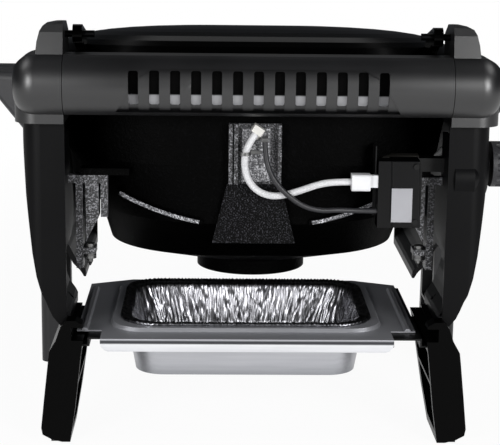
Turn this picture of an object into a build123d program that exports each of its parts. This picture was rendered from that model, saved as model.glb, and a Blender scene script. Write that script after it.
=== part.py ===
from build123d import *
import os
from math import cos, pi, radians, sin, tan

os.makedirs("parts", exist_ok=True)

# Portable gas grill. Millimetres, +Z up, origin on the ground under its middle.
# -Y is the cook's side, +Y the rear, +X the cook's right hand, and left means -X.
# Outlines are given as shares of a box: first across, then up.

# Moulded body
nylon_wall = 4.0
body_half = 205.0
frame_width = 42.0
frame_set_in = 5.5
frame_inner = body_half - frame_width
frame_out = body_half - frame_set_in
frame_rear = 184.0
frame_front = -172.0
frame_floor = 95.0
frame_top = 325.0
frame_rear_corner = 16.0
frame_front_corner = 20.0
deck_rear = 320.0
deck_front = 292.0
side_shares = [
    (0.0, 0.0),
    (0.055, 0.0),
    (0.164, 0.03),
    (0.325, 0.061),
    (0.413, 0.091),
    (0.5, 0.126),
    (0.587, 0.152),
    (0.7, 0.215),
    (0.792, 0.304),
    (0.874, 0.43),
    (0.929, 0.522),
    (1.0, 0.739),
    (1.0, 1.0),
    (0.0, 1.0),
]
side_arch_rear = 75.0
side_arch_front = -15.0
side_arch_top = 138.0
side_arch_shares = [
    (0.0, -0.2),
    (0.0, 0.1),
    (0.16, 0.82),
    (0.3, 1.0),
    (0.7, 1.0),
    (0.84, 0.82),
    (1.0, 0.1),
    (1.0, -0.2),
]

# Inner return of the rear wall, with its rounded lower lobe
return_front = 146.0
return_floor = 170.0
return_top = 268.0
lobe_centre_share = 0.28
lobe_radius = 27.0

# End caps: upright with the hinge seat, and shoulder
head_floor = 279.0
head_front = 95.5
cap_set_in = 20.0
cap_width = 22.5
cap_out = body_half - cap_set_in
cap_in = cap_out - cap_width
cap_front = 140.0
cap_foot = 331.0
cap_top = 364.5
cap_rear = frame_rear + 11.0
boss_round = 19.0
boss_top_front = 154.0
cap_out_shares = [(1.0, 0.0), (1.0, 0.7), (0.96, 0.8), (0.87, 0.9), (0.76, 0.95), (0.0, 1.0)]
cap_profile_shares = [(0.0, 0.67), (0.3, 0.93), (0.8, 1.0), (0.89, 0.91), (0.936, 0.72)]

# Half-round vented panel
panel_gap = 0.5
vent_half = cap_in - panel_gap
vent_top = 337.0
vent_floor = 287.0
vent_belly = 14.5
vent_bulge = cap_rear + vent_belly
vent_wall = 4.5
vent_ledge_front = cap_rear - 23.0
vent_lip_front = cap_rear - 10.0
vent_ledge_wall = 3.0
recess_depth = 2.0
recess_margin = 43.2
recess_half = vent_half - recess_margin
recess_floor = 290.0
recess_top = 327.0
recess_shares = [
    (0.0, 0.0),
    (0.042, 0.46),
    (0.077, 0.81),
    (0.13, 1.0),
    (0.87, 1.0),
    (0.923, 0.81),
    (0.958, 0.46),
    (1.0, 0.0),
]
slot_count = 13
slot_pitch = 17.3
slot_width = 8.3
slot_floor = 297.0
slot_top = 325.5
groove_floor = 291.0
groove_depth = 1.0
heat_sheet_margin = 12.0
heat_sheet_half = vent_half - heat_sheet_margin
heat_sheet_rear = cap_rear - 17.0
heat_sheet_floor = 292.0
heat_sheet_wall = 1.0

# Hinge of the lid
hinge_y = 168.0
hinge_z = 352.0
pin_radius = 3.0
pin_cover = 9.0
pin_length = 38.0
pin_outer = cap_out - pin_cover
pin_inner = pin_outer - pin_length
pin_fit = 0.3
lug_gap = 6.5
lug_width = 8.0
lug_out = cap_in - lug_gap
lug_in = lug_out - lug_width
lug_radius = 8.0
arm_reach = 52.0
arm_shares = [(0.0, 0.0), (0.22, -0.35), (0.55, 0.08), (1.0, 0.5), (1.0, 1.0), (0.3, 0.66)]

# Cookbox and lid, both round one vertical centre line
bowl_y = 6.0
bowl_floor = 131.0
bowl_rim = 302.0
bowl_gap = 21.0
bowl_half_x = body_half - bowl_gap
bowl_half_y = 160.0
bowl_wall = 4.5
bowl_height_shares = [1.0, 0.637, 0.333, 0.105, 0.0]
bowl_x_shares = [1.0, 0.935, 0.772, 0.731, 0.326]
bowl_y_shares = [1.0, 1.0, 0.9875, 0.7, 0.375]
bowl_corner_shares = [0.7375, 0.725, 0.8104, 0.8929, 0.9867]
ledge_z = 289.0
ledge_wall = 5.0
ledge_bury = 2.2
ledge_width = 12.0
ledge_corner = 115.0
bowl_rib_radius = 318.0
bowl_rib_drop = 184.0
bowl_rib_z = bowl_rib_radius + bowl_rib_drop
bowl_rib_wall = 4.5
bowl_rib_reach = 3.0
bowl_rib_in = 46.5
bowl_rib_out = 122.0
bowl_rib_front = 90.0
bowl_ear_front = 140.0
bowl_ear_rear = 157.0
bowl_ear_floor = 229.0
bowl_ear_wall = 6.0
bowl_ear_gap = 11.0
bowl_ear_length = 42.0
bowl_ear_out = frame_inner - bowl_ear_gap
bowl_ear_in = bowl_ear_out - bowl_ear_length
drain_radius = 38.0
collar_radius = 52.0
collar_wall = 3.0
collar_floor = 116.0

lid_floor = 303.0
lid_top = 346.7
lid_tilt = 5.5
lid_overhang = 2.0
lid_half_x = bowl_half_x + lid_overhang
lid_half_y = bowl_half_y + lid_overhang
lid_wall = 3.0
lid_corner = min(lid_half_x, lid_half_y) * 120.0 / 162.0
lid_inset_shares = [0.0, 0.006, 0.02, 0.05, 0.09, 0.15, 0.23, 0.33, 0.45, 0.58, 0.72]
lid_corner_ease_share = 0.68
lid_dome_power = 2.2
lid_edge_power = 0.194
lid_play = 3.0
lid_space_floor = 268.0
lid_space_top = 420.0

# Handle of the lid
grip_half = 95.0
grip_front = -209.5
grip_rear = -190.0
grip_floor = 310.0
grip_height = 17.0
grip_round = 7.5
post_x = 70.0
post_width = 15.0
post_height = 11.0
post_bury = 12.0

# Grates
grate_gap = 1.0
grate_margin = 6.0
grate_height = 7.0
grate_rim = 9.0
grate_bar = 5.0
grate_pitch = 12.5
grate_rows = 13
grate_slot_length = 126.0
grate_cross = 6.0

# Carry handles
arm_rear_y = 70.0
arm_front_y = -90.0
arm_rear_z = 297.0
arm_front_z = 286.0
handle_gap = 129.0
handle_reach = body_half + handle_gap
handle_bend = 40.0
handle_thick = 18.0
handle_tall = 25.0
root_reach = 34.0
root_thick = 32.0
root_rear_tall = 66.0
root_front_tall = 26.0
root_rear_z = 277.0
root_round = 7.0

# Legs and their pads
leg_floor = 1.0
leg_wall = 5.0
leg_rear = frame_rear + 16.0
leg_set_in = 20.0
leg_width = 38.0
leg_out = body_half - leg_set_in
leg_in = leg_out - leg_width
leg_top = 110.0
leg_front_high = 84.0
leg_front_low = 138.0
leg_shares = [
    (0.34, 0.0),
    (0.53, 0.0),
    (0.76, 0.02),
    (0.97, 0.06),
    (1.0, 0.115),
    (0.92, 0.37),
    (0.82, 0.67),
    (0.79, 0.75),
    (0.64, 0.84),
    (0.53, 0.95),
    (0.4, 1.0),
    (0.2, 1.0),
    (0.05, 0.97),
    (0.0, 0.9),
    (0.08, 0.71),
    (0.22, 0.28),
]
leg_rib_share = 0.47
leg_rib_wall = 3.0
tray_notch_half = leg_in + 11.0
tray_notch_floor = 92.5
tray_notch_top = 104.0
front_leg_proud = 5.5
front_leg_width = 23.5
front_leg_out = body_half + front_leg_proud
front_leg_in = front_leg_out - front_leg_width
front_leg_front = -125.0
front_leg_rear = -30.0
front_leg_top = 235.0
front_leg_sole = 9.0
front_leg_corner = 9.0
front_leg_shares = [
    (0.0, 0.0),
    (1.0, 0.0),
    (1.0, 0.84),
    (0.95, 0.93),
    (0.86, 0.985),
    (0.74, 1.0),
    (0.36, 1.0),
    (0.24, 0.985),
    (0.15, 0.93),
    (0.1, 0.84),
]
pad_height = 6.0
pad_inset = 5.0
pad_play = 0.3

# Front panel
panel_floor = 215.0
panel_top = 291.0
panel_bow = 14.0
panel_wall = 4.0

# Gas line and control, on the left side
control_y = 147.0
control_z = 240.0
neck_radius = 6.75
neck_in = frame_inner - 17.0
neck_out = frame_inner + 6.0
nozzle_radius = 7.2
nozzle_in = neck_in - 12.0
valve_out = neck_out + 22.0
valve_half = 12.0
shaft_radius = 4.0
shaft_in = valve_out - 3.0
shaft_out = body_half + 15.0
shaft_bore_depth = 8.0
run_gap = 0.4
knob_radius = 20.0
knob_in = body_half
knob_out = knob_in + 20.0
knob_skirt = 4.0
knob_flutes = 12
knob_flute_radius = 4.0
knob_edge = 1.5
bezel_radius = 17.5
bezel_bore = 13.0
bezel_wall = 2.0
tunnel_y = 170.0
tunnel_z = 232.0
tunnel_radius = 17.0
tunnel_in = frame_inner + 6.0
tunnel_bend = body_half - 19.0
tunnel_wall = 3.0
flare_out = body_half - 5.0
flare_y = 150.0
flare_z = 236.0
flare_radius = 22.5
pipe_radius = 4.0
pipe_bend = 22.0
pipe_x = body_half - 21.0
inlet_x = body_half - 33.8
inlet_z = 200.0
inlet_radius = 7.94
inlet_length = 12.0
inlet_body_radius = 7.2
inlet_relief = 1.0
inlet_bore = 3.2
inlet_hex = 9.0
inlet_hex_length = 6.0
inlet_nut_length = 9.0
inlet_nut_radius = 8.3

# Burner
tube_radius = 8.5
tube_wall = 1.0
tube_start = frame_inner - 21.0
tube_half_x = tube_start - 37.0
tube_front = -100.0
tube_end = 90.0
tube_bend = 45.0
tube_hole_fit = 0.5
port_radius = 1.2
port_pitch = 15.0
port_count = 9
plug_length = 4.0

# Burner bracket on the rear wall of the cookbox, and what it carries
bracket_left = 21.0
bracket_right = 24.1
bracket_floor = 219.0
bracket_top = 277.0
bracket_wall = 3.0
bracket_rib = 3.1
bracket_rib_gap = 1.6
bracket_rib_reach = 6.0
pad_left = 11.6
pad_right = 13.0
bracket_pad_floor = 227.0
bracket_pad_top = 273.6
bracket_pad_wall = 4.0
deflector_floor = 172.5
deflector_top = 224.6
deflector_wall = 1.5
deflector_half = 38.0
deflector_left_shares = [-0.558, -0.9]
deflector_right_shares = [0.666, 1.0]
electrode_x = 1.3
electrode_z = 267.0
electrode_radius = 3.5
electrode_reach = 22.0
wire_radius = 1.0
wire_drop = 14.0
boot_half = 5.0
boot_depth = 12.0
boot_height = 6.5
tab_half = 3.0
tab_height = 3.0
tab_depth = 12.0

# Ignition module
module_front = 161.0
module_rear = 182.0
module_floor = 189.5
module_top = 248.0
module_split = 115.0
module_left = 141.0
module_lean = 1.8
module_side_in = 104.0
module_side_floor = 189.0
module_side_top = 247.0
module_side_rear = 180.0
module_edge = 1.2
module_plate_wall = 1.0
module_plate_floor = 196.0
module_wing_x = 101.5
module_wing_wall = 1.0
module_wing_rear = 176.0
module_wing_floor = 235.0
module_wing_top = 259.5
label_in = 113.8
label_out = 133.4
label_floor = 194.5
label_top = 224.0
label_wall = 0.3
plug_in = 81.3
plug_mid = 97.3
plug_half = 6.5
plug_y = 176.0
plug_floor = 221.0
plug_top = 235.5
plug_round = 2.5
plug_tab_floor = 224.0
module_screw_inset = 5.0
module_screw_radius = 2.4

# Leads, as points of their routes
white_radius = 3.0
white_route = [
    (1.3, 181.0, 270.5),
    (6.6, 181.0, 262.5),
    (10.4, 180.6, 252.6),
    (10.8, 180.2, 241.0),
    (7.2, 179.8, 228.8),
    (-1.4, 179.4, 219.6),
    (-13.2, 179.0, 215.6),
    (-26.6, 178.6, 217.4),
    (-39.8, 178.2, 221.6),
    (-53.2, 177.6, 226.4),
    (-67.6, 176.0, 228.3),
    (-81.3, 176.0, 228.3),
]
grey_radius = 2.3
grey_route = [
    (-6.4, 182.0, 263.6),
    (-7.2, 182.0, 250.6),
    (-10.6, 183.9, 237.4),
    (-18.0, 184.8, 226.0),
    (-28.0, 185.2, 216.4),
    (-40.4, 184.7, 208.0),
    (-55.0, 183.0, 204.2),
    (-70.6, 180.2, 204.6),
    (-87.8, 176.0, 203.0),
    (-104.0, 176.0, 203.0),
]
bend_share = 0.45
clip_x = 10.4
clip_y = 180.65
clip_z = 251.5
clip_height = 3.0
clip_wall = 1.2
clip_fit = 1.0
clip_left = -4.0
clip_strap = 1.2

# Brackets that carry the cookbox on the side frames
carrier_front = 139.0
carrier_rear = 156.5
carrier_back_wall = 4.0
carrier_outer = frame_inner - 6.4
carrier_outer_wall = 6.0
carrier_mid_out = carrier_outer - 8.6
carrier_mid_in = carrier_mid_out - 11.4
carrier_mid_floor = 170.0
carrier_mid_lift = 22.0
carrier_in = carrier_mid_in - 7.8
carrier_in_wall = 6.1
carrier_in_floor = 192.0
carrier_floor = 146.0
carrier_shelf = 159.0
carrier_shelf_wall = 5.0
carrier_shelf_in = carrier_outer - 17.1
carrier_arm_wall = 7.0
carrier_screw_x = carrier_outer - 11.6
carrier_screw_y = 150.0
screw_radius = 2.5
screw_head_radius = 5.5
screw_head_height = 3.0
screw_tip = 4.0
washer_height = 5.0
carrier_screw_tip = 147.0

# Drip tray, its rails and the foil pan
tray_x = 7.0
sheet = 1.2
tray_z = 94.0
tray_half = leg_in + 1.0
tray_front = -3.0
tray_rear = leg_rear + 3.0
tray_body_half = tray_half - 21.7
flange_front = 15.0
flange_rear = 176.0
flange_corner = 18.0
lip_floor = 84.0
lip_corner = 8.0
bead_x = tray_half - 6.7
bead_width = 7.0
bead_height = 2.2
plateau_half = tray_body_half - 5.6
plateau_front = 5.0
plateau_rear = 181.0
plateau_height = 3.0
plateau_corner = 30.0
plateau_slope = 2.5
pocket_half = plateau_half - 13.5
pocket_front = 22.0
pocket_rear = 164.0
pocket_floor = 48.5
pocket_taper = 8.0
pocket_corner = 26.0
pan_wall = 1.0
pan_rim_half_x = plateau_half - 8.5
pan_rim_half_y = 80.5
pan_rim_corner = 34.0
pan_rim_height = 2.0
pan_half_x = pan_rim_half_x - 9.5
pan_half_y = 67.5
pan_corner = 26.0
pan_floor = 58.0
pan_taper = 10.0
rail_in = leg_in - 28.0
rail_out = leg_in - 2.5
rail_top = 93.7
rail_floor = 86.0
rail_wall = 1.5
rail_foot_out = tray_notch_half + 2.0
rail_front = 20.0
rail_rear = 194.0

# Screws and general clearances
leg_screw_z = 214.0
leg_screw_front = -96.0
leg_screw_rear = -52.0
leg_screw_in = body_half - 15.0
rear_screw_x = leg_out - 18.5
small_head_radius = 4.2
rear_screw_rear = frame_rear - 24.0
rear_screw_front = rear_screw_rear - 55.0
rear_screw_length = 20.0
screw_fit = 0.3
over = 2.0


def rear_plane(y):
    """Plane across Y: sketch x is X, sketch y is Z, and a pull runs forward, to -Y."""
    return Plane.XZ.offset(-y)


def side_plane(x):
    """Plane across X: sketch x is Y, sketch y is Z, and a pull runs to +X."""
    return Plane.YZ.offset(x)


def placed(shares, low, high):
    """Points of an outline from its shares of the box between two corners."""
    return [(low[0] + u * (high[0] - low[0]), low[1] + v * (high[1] - low[1])) for u, v in shares]


def prism(plane, points, depth, mode=Mode.ADD):
    """Pull a straight-sided outline into the open part."""
    with BuildSketch(plane) as outline:
        Polygon(*points)
    extrude(outline.sketch, amount=depth, mode=mode)


def block(x_pair, y_pair, z_pair, mode=Mode.ADD):
    """A box between two values on each axis."""
    corners = placed(
        [(0, 0), (1, 0), (1, 1), (0, 1)], (x_pair[0], y_pair[0]), (x_pair[1], y_pair[1])
    )
    prism(Plane.XY.offset(z_pair[0]), corners, z_pair[1] - z_pair[0], mode)


def rod(plane, centre, radius, depth, mode=Mode.ADD):
    """A round bar or bore from a circle on the plane."""
    with BuildSketch(plane) as section:
        with Locations(centre):
            Circle(radius)
    extrude(section.sketch, amount=depth, mode=mode)


def rounded_plate(centre, half_x, half_y, corner, z_pair, mode=Mode.ADD):
    """A flat plate with rounded corners, seen from above."""
    with BuildSketch(Plane.XY.offset(z_pair[0])) as outline:
        with Locations(centre):
            RectangleRounded(2 * half_x, 2 * half_y, corner)
    extrude(outline.sketch, amount=z_pair[1] - z_pair[0], mode=mode)


def dish(centre, sections, ruled, mode=Mode.ADD):
    """Loft through rounded rectangles, each with height, half length, half depth and corner."""
    rings = []
    for height, half_x, half_y, corner in sections:
        with BuildSketch(Plane.XY.offset(height)) as ring:
            with Locations(centre):
                RectangleRounded(2 * half_x, 2 * half_y, corner)
        rings.append(ring.sketch)
    loft(rings, ruled=ruled, mode=mode)


def side_outline(inset):
    """Rear view of the side frame, or of its hollow, moved in and up by the wall."""
    return placed(
        side_shares,
        (frame_inner - inset, frame_floor + inset),
        (frame_out - inset, frame_top + inset),
    )


def side_form(inset, top_points):
    """The side frame's closed form, or its hollow, cut off above the given top line."""
    with BuildPart() as form:
        prism(rear_plane(frame_rear), side_outline(inset), frame_rear - frame_front)
        with BuildSketch() as plan:
            Polygon(
                (frame_inner - inset - over, frame_front + inset),
                (frame_out - inset, frame_front + inset),
                (frame_out - inset, frame_rear - inset),
                (frame_inner - inset - over, frame_rear - inset),
            )
            outer = plan.vertices().group_by(Axis.X)[-1].sort_by(Axis.Y)
            fillet(outer[0], radius=frame_front_corner - inset)
            outer = plan.vertices().group_by(Axis.X)[-1].sort_by(Axis.Y)
            fillet(outer[-1], radius=frame_rear_corner - inset)
        extrude(plan.sketch, amount=frame_top + over, mode=Mode.INTERSECT)
        prism(side_plane(frame_inner - over - inset), top_points, body_half, mode=Mode.SUBTRACT)
    return form.part


def arc_cut(radius_cut, x_half):
    """Solid of the barrel's inside, up to the given radius, for cutting the rest away."""
    with BuildPart() as core:
        rod(side_plane(-x_half), (vent_axis_y, vent_axis_z), radius_cut, 2 * x_half)
    return core.part


# Circle through the vented panel's top edge, its bulge and its lower edge
vent_axis_z = (vent_top + vent_floor) / 2
vent_chord = (vent_top - vent_floor) / 2
vent_sagitta = vent_bulge - cap_rear
vent_radius = (vent_chord**2 + vent_sagitta**2) / (2 * vent_sagitta)
vent_axis_y = vent_bulge - vent_radius

# Room that the lid and the cookbox need inside the moulded body
with BuildPart() as lid_space:
    rounded_plate(
        (0, bowl_y),
        lid_half_x + lid_play,
        lid_half_y + lid_play,
        lid_corner + lid_play,
        (lid_space_floor, lid_space_top),
    )
with BuildPart() as lid_space_wide:
    rounded_plate(
        (0, bowl_y),
        lid_half_x + lid_play + nylon_wall,
        lid_half_y + lid_play + nylon_wall,
        lid_corner + lid_play + nylon_wall,
        (lid_space_floor, lid_space_top),
    )

# Side frames
outer_top = [
    (frame_rear + over, head_floor),
    (head_front, head_floor),
    (head_front, deck_rear),
    (frame_front - over, deck_front),
    (frame_front - over, frame_top + over),
    (frame_rear + over, frame_top + over),
]
hollow_top = [
    (head_front, frame_top + over + nylon_wall),
    (head_front, head_floor),
    (head_front - nylon_wall, head_floor),
    (head_front - nylon_wall, deck_rear - nylon_wall),
    (frame_front - over, deck_front - nylon_wall),
    (frame_front - over, frame_top + over + nylon_wall),
]
side_solid = side_form(0, outer_top)
side_hollow = side_form(nylon_wall, hollow_top)

with BuildPart() as side_shell:
    add(side_solid)
    add(side_hollow, mode=Mode.SUBTRACT)
    add(lid_space.part, mode=Mode.SUBTRACT)
    # inner return of the rear wall, a plate with a rounded lobe at its foot
    block(
        (frame_inner, frame_inner + nylon_wall),
        (return_front, frame_rear - nylon_wall / 2),
        (return_floor, return_top),
    )
    lobe_z = return_floor + lobe_centre_share * (return_top - return_floor)
    rod(side_plane(frame_inner), (return_front - nylon_wall * 2, lobe_z), lobe_radius, nylon_wall)
    # foot arch between the legs
    prism(
        side_plane(frame_inner - over),
        placed(side_arch_shares, (side_arch_front, frame_floor), (side_arch_rear, side_arch_top)),
        body_half - frame_inner + 2 * over,
        mode=Mode.SUBTRACT,
    )
    # bores for the screws of both legs
    for screw_y in (leg_screw_front, leg_screw_rear):
        rod(
            side_plane(leg_screw_in - over),
            (screw_y, leg_screw_z),
            screw_radius + screw_fit,
            body_half - leg_screw_in + 2 * over,
            mode=Mode.SUBTRACT,
        )
    for screw_y in (rear_screw_front, rear_screw_rear):
        rod(
            Plane.XY.offset(frame_floor - over),
            (rear_screw_x, screw_y),
            screw_radius + screw_fit,
            4 * nylon_wall + over,
            mode=Mode.SUBTRACT,
        )

with BuildPart() as side_frame_right:
    add(side_shell.part)
side_frame_right.part.label = "side_frame_right"

# The left one also has the moulded tunnel and the round seat of the control
with BuildPart() as tunnel_outer:
    rod(side_plane(-tunnel_bend), (tunnel_y, tunnel_z), tunnel_radius, tunnel_bend - tunnel_in)
    with BuildSketch(side_plane(-tunnel_bend)) as tunnel_end:
        with Locations((tunnel_y, tunnel_z)):
            Circle(tunnel_radius)
    with BuildSketch(side_plane(-flare_out)) as flare_end:
        with Locations((flare_y, flare_z)):
            Circle(flare_radius)
    loft()
with BuildPart() as tunnel_inner:
    rod(
        side_plane(-tunnel_bend),
        (tunnel_y, tunnel_z),
        tunnel_radius - tunnel_wall,
        tunnel_bend - tunnel_in - tunnel_wall,
    )
    with BuildSketch(side_plane(-tunnel_bend)) as tunnel_end:
        with Locations((tunnel_y, tunnel_z)):
            Circle(tunnel_radius - tunnel_wall)
    with BuildSketch(side_plane(tunnel_wall - flare_out)) as flare_end:
        with Locations((flare_y, flare_z)):
            Circle(flare_radius - tunnel_wall)
    loft()
# only what lies behind the rear wall or outside the side wall is kept
with BuildPart() as tunnel_keep:
    block((-flare_out, -tunnel_in), (frame_rear - nylon_wall, body_half), (head_front, head_floor))
    prism(
        rear_plane(frame_rear),
        [(-x, z) for x, z in side_outline(nylon_wall)[7:12]]
        + [(-flare_out - over, frame_top), (-flare_out - over, frame_floor)],
        frame_rear - head_front,
    )
with BuildPart() as tunnel_skin:
    add(tunnel_outer.part)
    add(tunnel_keep.part, mode=Mode.INTERSECT)
with BuildPart() as side_frame_left:
    mirror(side_shell.part, about=Plane.YZ)
    add(tunnel_skin.part)
    add(tunnel_inner.part, mode=Mode.SUBTRACT)
    rod(
        side_plane(-flare_out - over),
        (control_y, control_z),
        bezel_bore,
        flare_out - tunnel_bend + nylon_wall + over,
        mode=Mode.SUBTRACT,
    )
    # the valve's neck passes the inner return
    rod(
        side_plane(-frame_inner - nylon_wall - over),
        (control_y, control_z),
        neck_radius + run_gap,
        nylon_wall + 2 * over,
        mode=Mode.SUBTRACT,
    )
    # hole of the hose inlet in the front wall
    rod(
        rear_plane(frame_front + nylon_wall + over),
        (-inlet_x, inlet_z),
        inlet_body_radius + screw_fit,
        nylon_wall + 2 * over,
        mode=Mode.SUBTRACT,
    )
side_frame_left.part.label = "side_frame_left"

# End caps
# its shoulder carries on the barrel's round and ends in a full round outer side
with BuildPart() as boss_block:
    with BuildSketch(side_plane(cap_in)):
        with BuildLine():
            ThreePointArc((cap_rear, vent_top), (vent_bulge, vent_axis_z), (cap_rear, vent_floor))
            Polyline(
                (cap_rear, vent_floor),
                (cap_rear, head_floor),
                (head_front, head_floor),
                (head_front, deck_rear),
                (boss_top_front, vent_top),
                (cap_rear, vent_top),
            )
        make_face()
    extrude(amount=body_half - cap_in)
    outer_side = boss_block.faces().sort_by(Axis.X)[-1]
    upper = [
        edge
        for edge in outer_side.edges()
        if edge.center().Z > head_floor + over and edge.center().Y > head_front + over
    ]
    fillet(upper, radius=boss_round)
with BuildPart() as cap_block:
    with BuildSketch(side_plane(cap_in)):
        Polygon(
            (cap_rear, vent_floor),
            (cap_front, vent_floor),
            *placed(cap_profile_shares, (cap_front, cap_foot), (cap_rear, cap_top)),
            (cap_rear, vent_top),
        )
    extrude(amount=cap_out - cap_in)
    with BuildSketch(rear_plane(vent_bulge + over)):
        Polygon(
            (cap_in - over, head_floor),
            *placed(cap_out_shares, (cap_in - over, head_floor), (cap_out, cap_top)),
        )
    extrude(amount=vent_bulge - head_front + 2 * over, mode=Mode.INTERSECT)

with BuildPart() as head_cavity:
    prism(
        Plane.XY.offset(head_floor - over),
        [
            (frame_inner + nylon_wall, head_front + nylon_wall),
            (frame_out - nylon_wall, head_front + nylon_wall),
            (frame_out - nylon_wall, cap_rear - boss_round),
            (cap_out - nylon_wall, cap_rear - 2 * nylon_wall),
            (frame_inner + nylon_wall, cap_rear - 2 * nylon_wall),
        ],
        deck_rear - 2 * nylon_wall - head_floor + over,
    )
    add(lid_space_wide.part, mode=Mode.SUBTRACT)

with BuildPart() as end_cap_right:
    add(boss_block.part)
    add(cap_block.part)
    add(head_cavity.part, mode=Mode.SUBTRACT)
    add(lid_space.part, mode=Mode.SUBTRACT)
    rod(
        side_plane(cap_in - over),
        (hinge_y, hinge_z),
        pin_radius + pin_fit,
        pin_outer - cap_in + over,
        mode=Mode.SUBTRACT,
    )
end_cap_right.part.label = "end_cap_right"

with BuildPart() as end_cap_left:
    mirror(end_cap_right.part, about=Plane.YZ)
end_cap_left.part.label = "end_cap_left"

# Vented panel
inner_radius = vent_radius - vent_wall
ledge_inner_y = vent_axis_y + (inner_radius**2 - (vent_chord - vent_ledge_wall) ** 2) ** 0.5
with BuildPart() as recess_tool:
    prism(
        rear_plane(vent_bulge + over),
        placed(recess_shares, (-recess_half, recess_floor), (recess_half, recess_top)),
        vent_bulge - vent_axis_y + over,
    )
    add(arc_cut(vent_radius - recess_depth, vent_half), mode=Mode.SUBTRACT)
with BuildPart() as groove_tool:
    with BuildSketch(rear_plane(vent_bulge + over)):
        with Locations((0, (groove_floor + slot_floor) / 2)):
            with GridLocations(slot_pitch, 0, slot_count, 1):
                Rectangle(slot_width, slot_floor - groove_floor + over)
    extrude(amount=vent_bulge - vent_axis_y + over)
    add(arc_cut(vent_radius - recess_depth - groove_depth, vent_half), mode=Mode.SUBTRACT)
with BuildPart() as vent_panel:
    with BuildSketch(side_plane(-vent_half)):
        with BuildLine():
            ThreePointArc((cap_rear, vent_top), (vent_bulge, vent_axis_z), (cap_rear, vent_floor))
            Polyline(
                (cap_rear, vent_floor),
                (vent_lip_front, vent_floor),
                (vent_lip_front, vent_floor + vent_ledge_wall),
                (ledge_inner_y, vent_floor + vent_ledge_wall),
            )
            ThreePointArc(
                (ledge_inner_y, vent_floor + vent_ledge_wall),
                (vent_bulge - vent_wall, vent_axis_z),
                (ledge_inner_y, vent_top - vent_ledge_wall),
            )
            Polyline(
                (ledge_inner_y, vent_top - vent_ledge_wall),
                (vent_ledge_front, vent_top - vent_ledge_wall),
                (vent_ledge_front, vent_top),
                (cap_rear, vent_top),
            )
        make_face()
    extrude(amount=2 * vent_half)
    add(recess_tool.part, mode=Mode.SUBTRACT)
    add(groove_tool.part, mode=Mode.SUBTRACT)
    with BuildSketch(rear_plane(vent_bulge + over)):
        with Locations((0, (slot_floor + slot_top) / 2)):
            with GridLocations(slot_pitch, 0, slot_count, 1):
                RectangleRounded(slot_width, slot_top - slot_floor, slot_width / 4)
    extrude(amount=vent_bulge - vent_axis_y + over, mode=Mode.SUBTRACT)
vent_panel.part.label = "vent_panel"

with BuildPart() as heat_shield:
    block(
        (-heat_sheet_half, heat_sheet_half),
        (heat_sheet_rear - heat_sheet_wall, heat_sheet_rear),
        (heat_sheet_floor, vent_top - vent_ledge_wall),
    )
heat_shield.part.label = "heat_shield"

# Cookbox
bowl_sections = []
bowl_inner_sections = []
for height_share, x_share, y_share, corner_share in zip(
    bowl_height_shares, bowl_x_shares, bowl_y_shares, bowl_corner_shares
):
    section_z = bowl_floor + height_share * (bowl_rim - bowl_floor)
    half_x = bowl_half_x * x_share
    half_y = bowl_half_y * y_share
    corner = min(half_x, half_y) * corner_share
    bowl_sections.append((section_z, half_x, half_y, corner))
    bowl_inner_sections.append(
        (section_z + bowl_wall, half_x - bowl_wall, half_y - bowl_wall, corner - bowl_wall)
    )
with BuildPart() as bowl_inside:
    dish((0, bowl_y), bowl_inner_sections, True)
# curved strengthening ribs low on its rear wall
with BuildPart() as bowl_ribs:
    dish(
        (0, bowl_y),
        [
            (height, half_x + bowl_rib_reach, half_y + bowl_rib_reach, corner + bowl_rib_reach)
            for height, half_x, half_y, corner in bowl_sections
        ],
        True,
    )
    with BuildSketch(rear_plane(bowl_y + bowl_half_y + 2 * bowl_rib_reach)):
        with Locations((0, bowl_rib_z)):
            Circle(bowl_rib_radius)
            Circle(bowl_rib_radius - bowl_rib_wall, mode=Mode.SUBTRACT)
    extrude(amount=bowl_half_y - bowl_rib_front, mode=Mode.INTERSECT)
    block(
        (-bowl_half_x, bowl_half_x),
        (0, bowl_half_x),
        (bowl_ear_floor, 2 * bowl_rib_z),
        mode=Mode.SUBTRACT,
    )
    for near, far in (
        (-bowl_rib_in, bowl_rib_in),
        (bowl_rib_out, bowl_half_x),
        (-bowl_half_x, -bowl_rib_out),
    ):
        block((near, far), (0, bowl_half_x), (bowl_floor, bowl_ear_floor), mode=Mode.SUBTRACT)
ledge_half_x = bowl_half_x - bowl_wall * 2
ledge_half_y = bowl_half_y - ledge_bury
with BuildPart() as cookbox:
    dish((0, bowl_y), bowl_sections, True)
    add(bowl_ribs.part)
    for near, far in ((bowl_ear_in, bowl_ear_out), (-bowl_ear_out, -bowl_ear_in)):
        block(
            (near, far),
            (bowl_ear_front, bowl_ear_rear),
            (bowl_ear_floor, bowl_ear_floor + bowl_ear_wall),
        )
    add(bowl_inside.part, mode=Mode.SUBTRACT)
    # ledge that the grates lie on
    rounded_plate((0, bowl_y), ledge_half_x, ledge_half_y, ledge_corner, (ledge_z - ledge_wall, ledge_z))
    rounded_plate(
        (0, bowl_y),
        ledge_half_x - ledge_width,
        ledge_half_y - ledge_width,
        ledge_corner - ledge_width,
        (ledge_z - ledge_wall - over, ledge_z + over),
        mode=Mode.SUBTRACT,
    )
    rod(Plane.XY.offset(bowl_floor - over), (0, bowl_y), drain_radius, bowl_wall + 2 * over, Mode.SUBTRACT)
    # the burner comes in through the rear left corner
    rod(
        side_plane(-bowl_ear_out - over),
        (control_y, control_z),
        tube_radius + tube_hole_fit,
        bowl_ear_out - tube_half_x / 2,
        mode=Mode.SUBTRACT,
    )
    # hole of the electrode in the rear wall
    rod(
        rear_plane(bowl_y + bowl_half_y + over),
        (electrode_x, electrode_z),
        electrode_radius + run_gap,
        bowl_wall * 2 + over,
        mode=Mode.SUBTRACT,
    )
cookbox.part.label = "cookbox"

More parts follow.
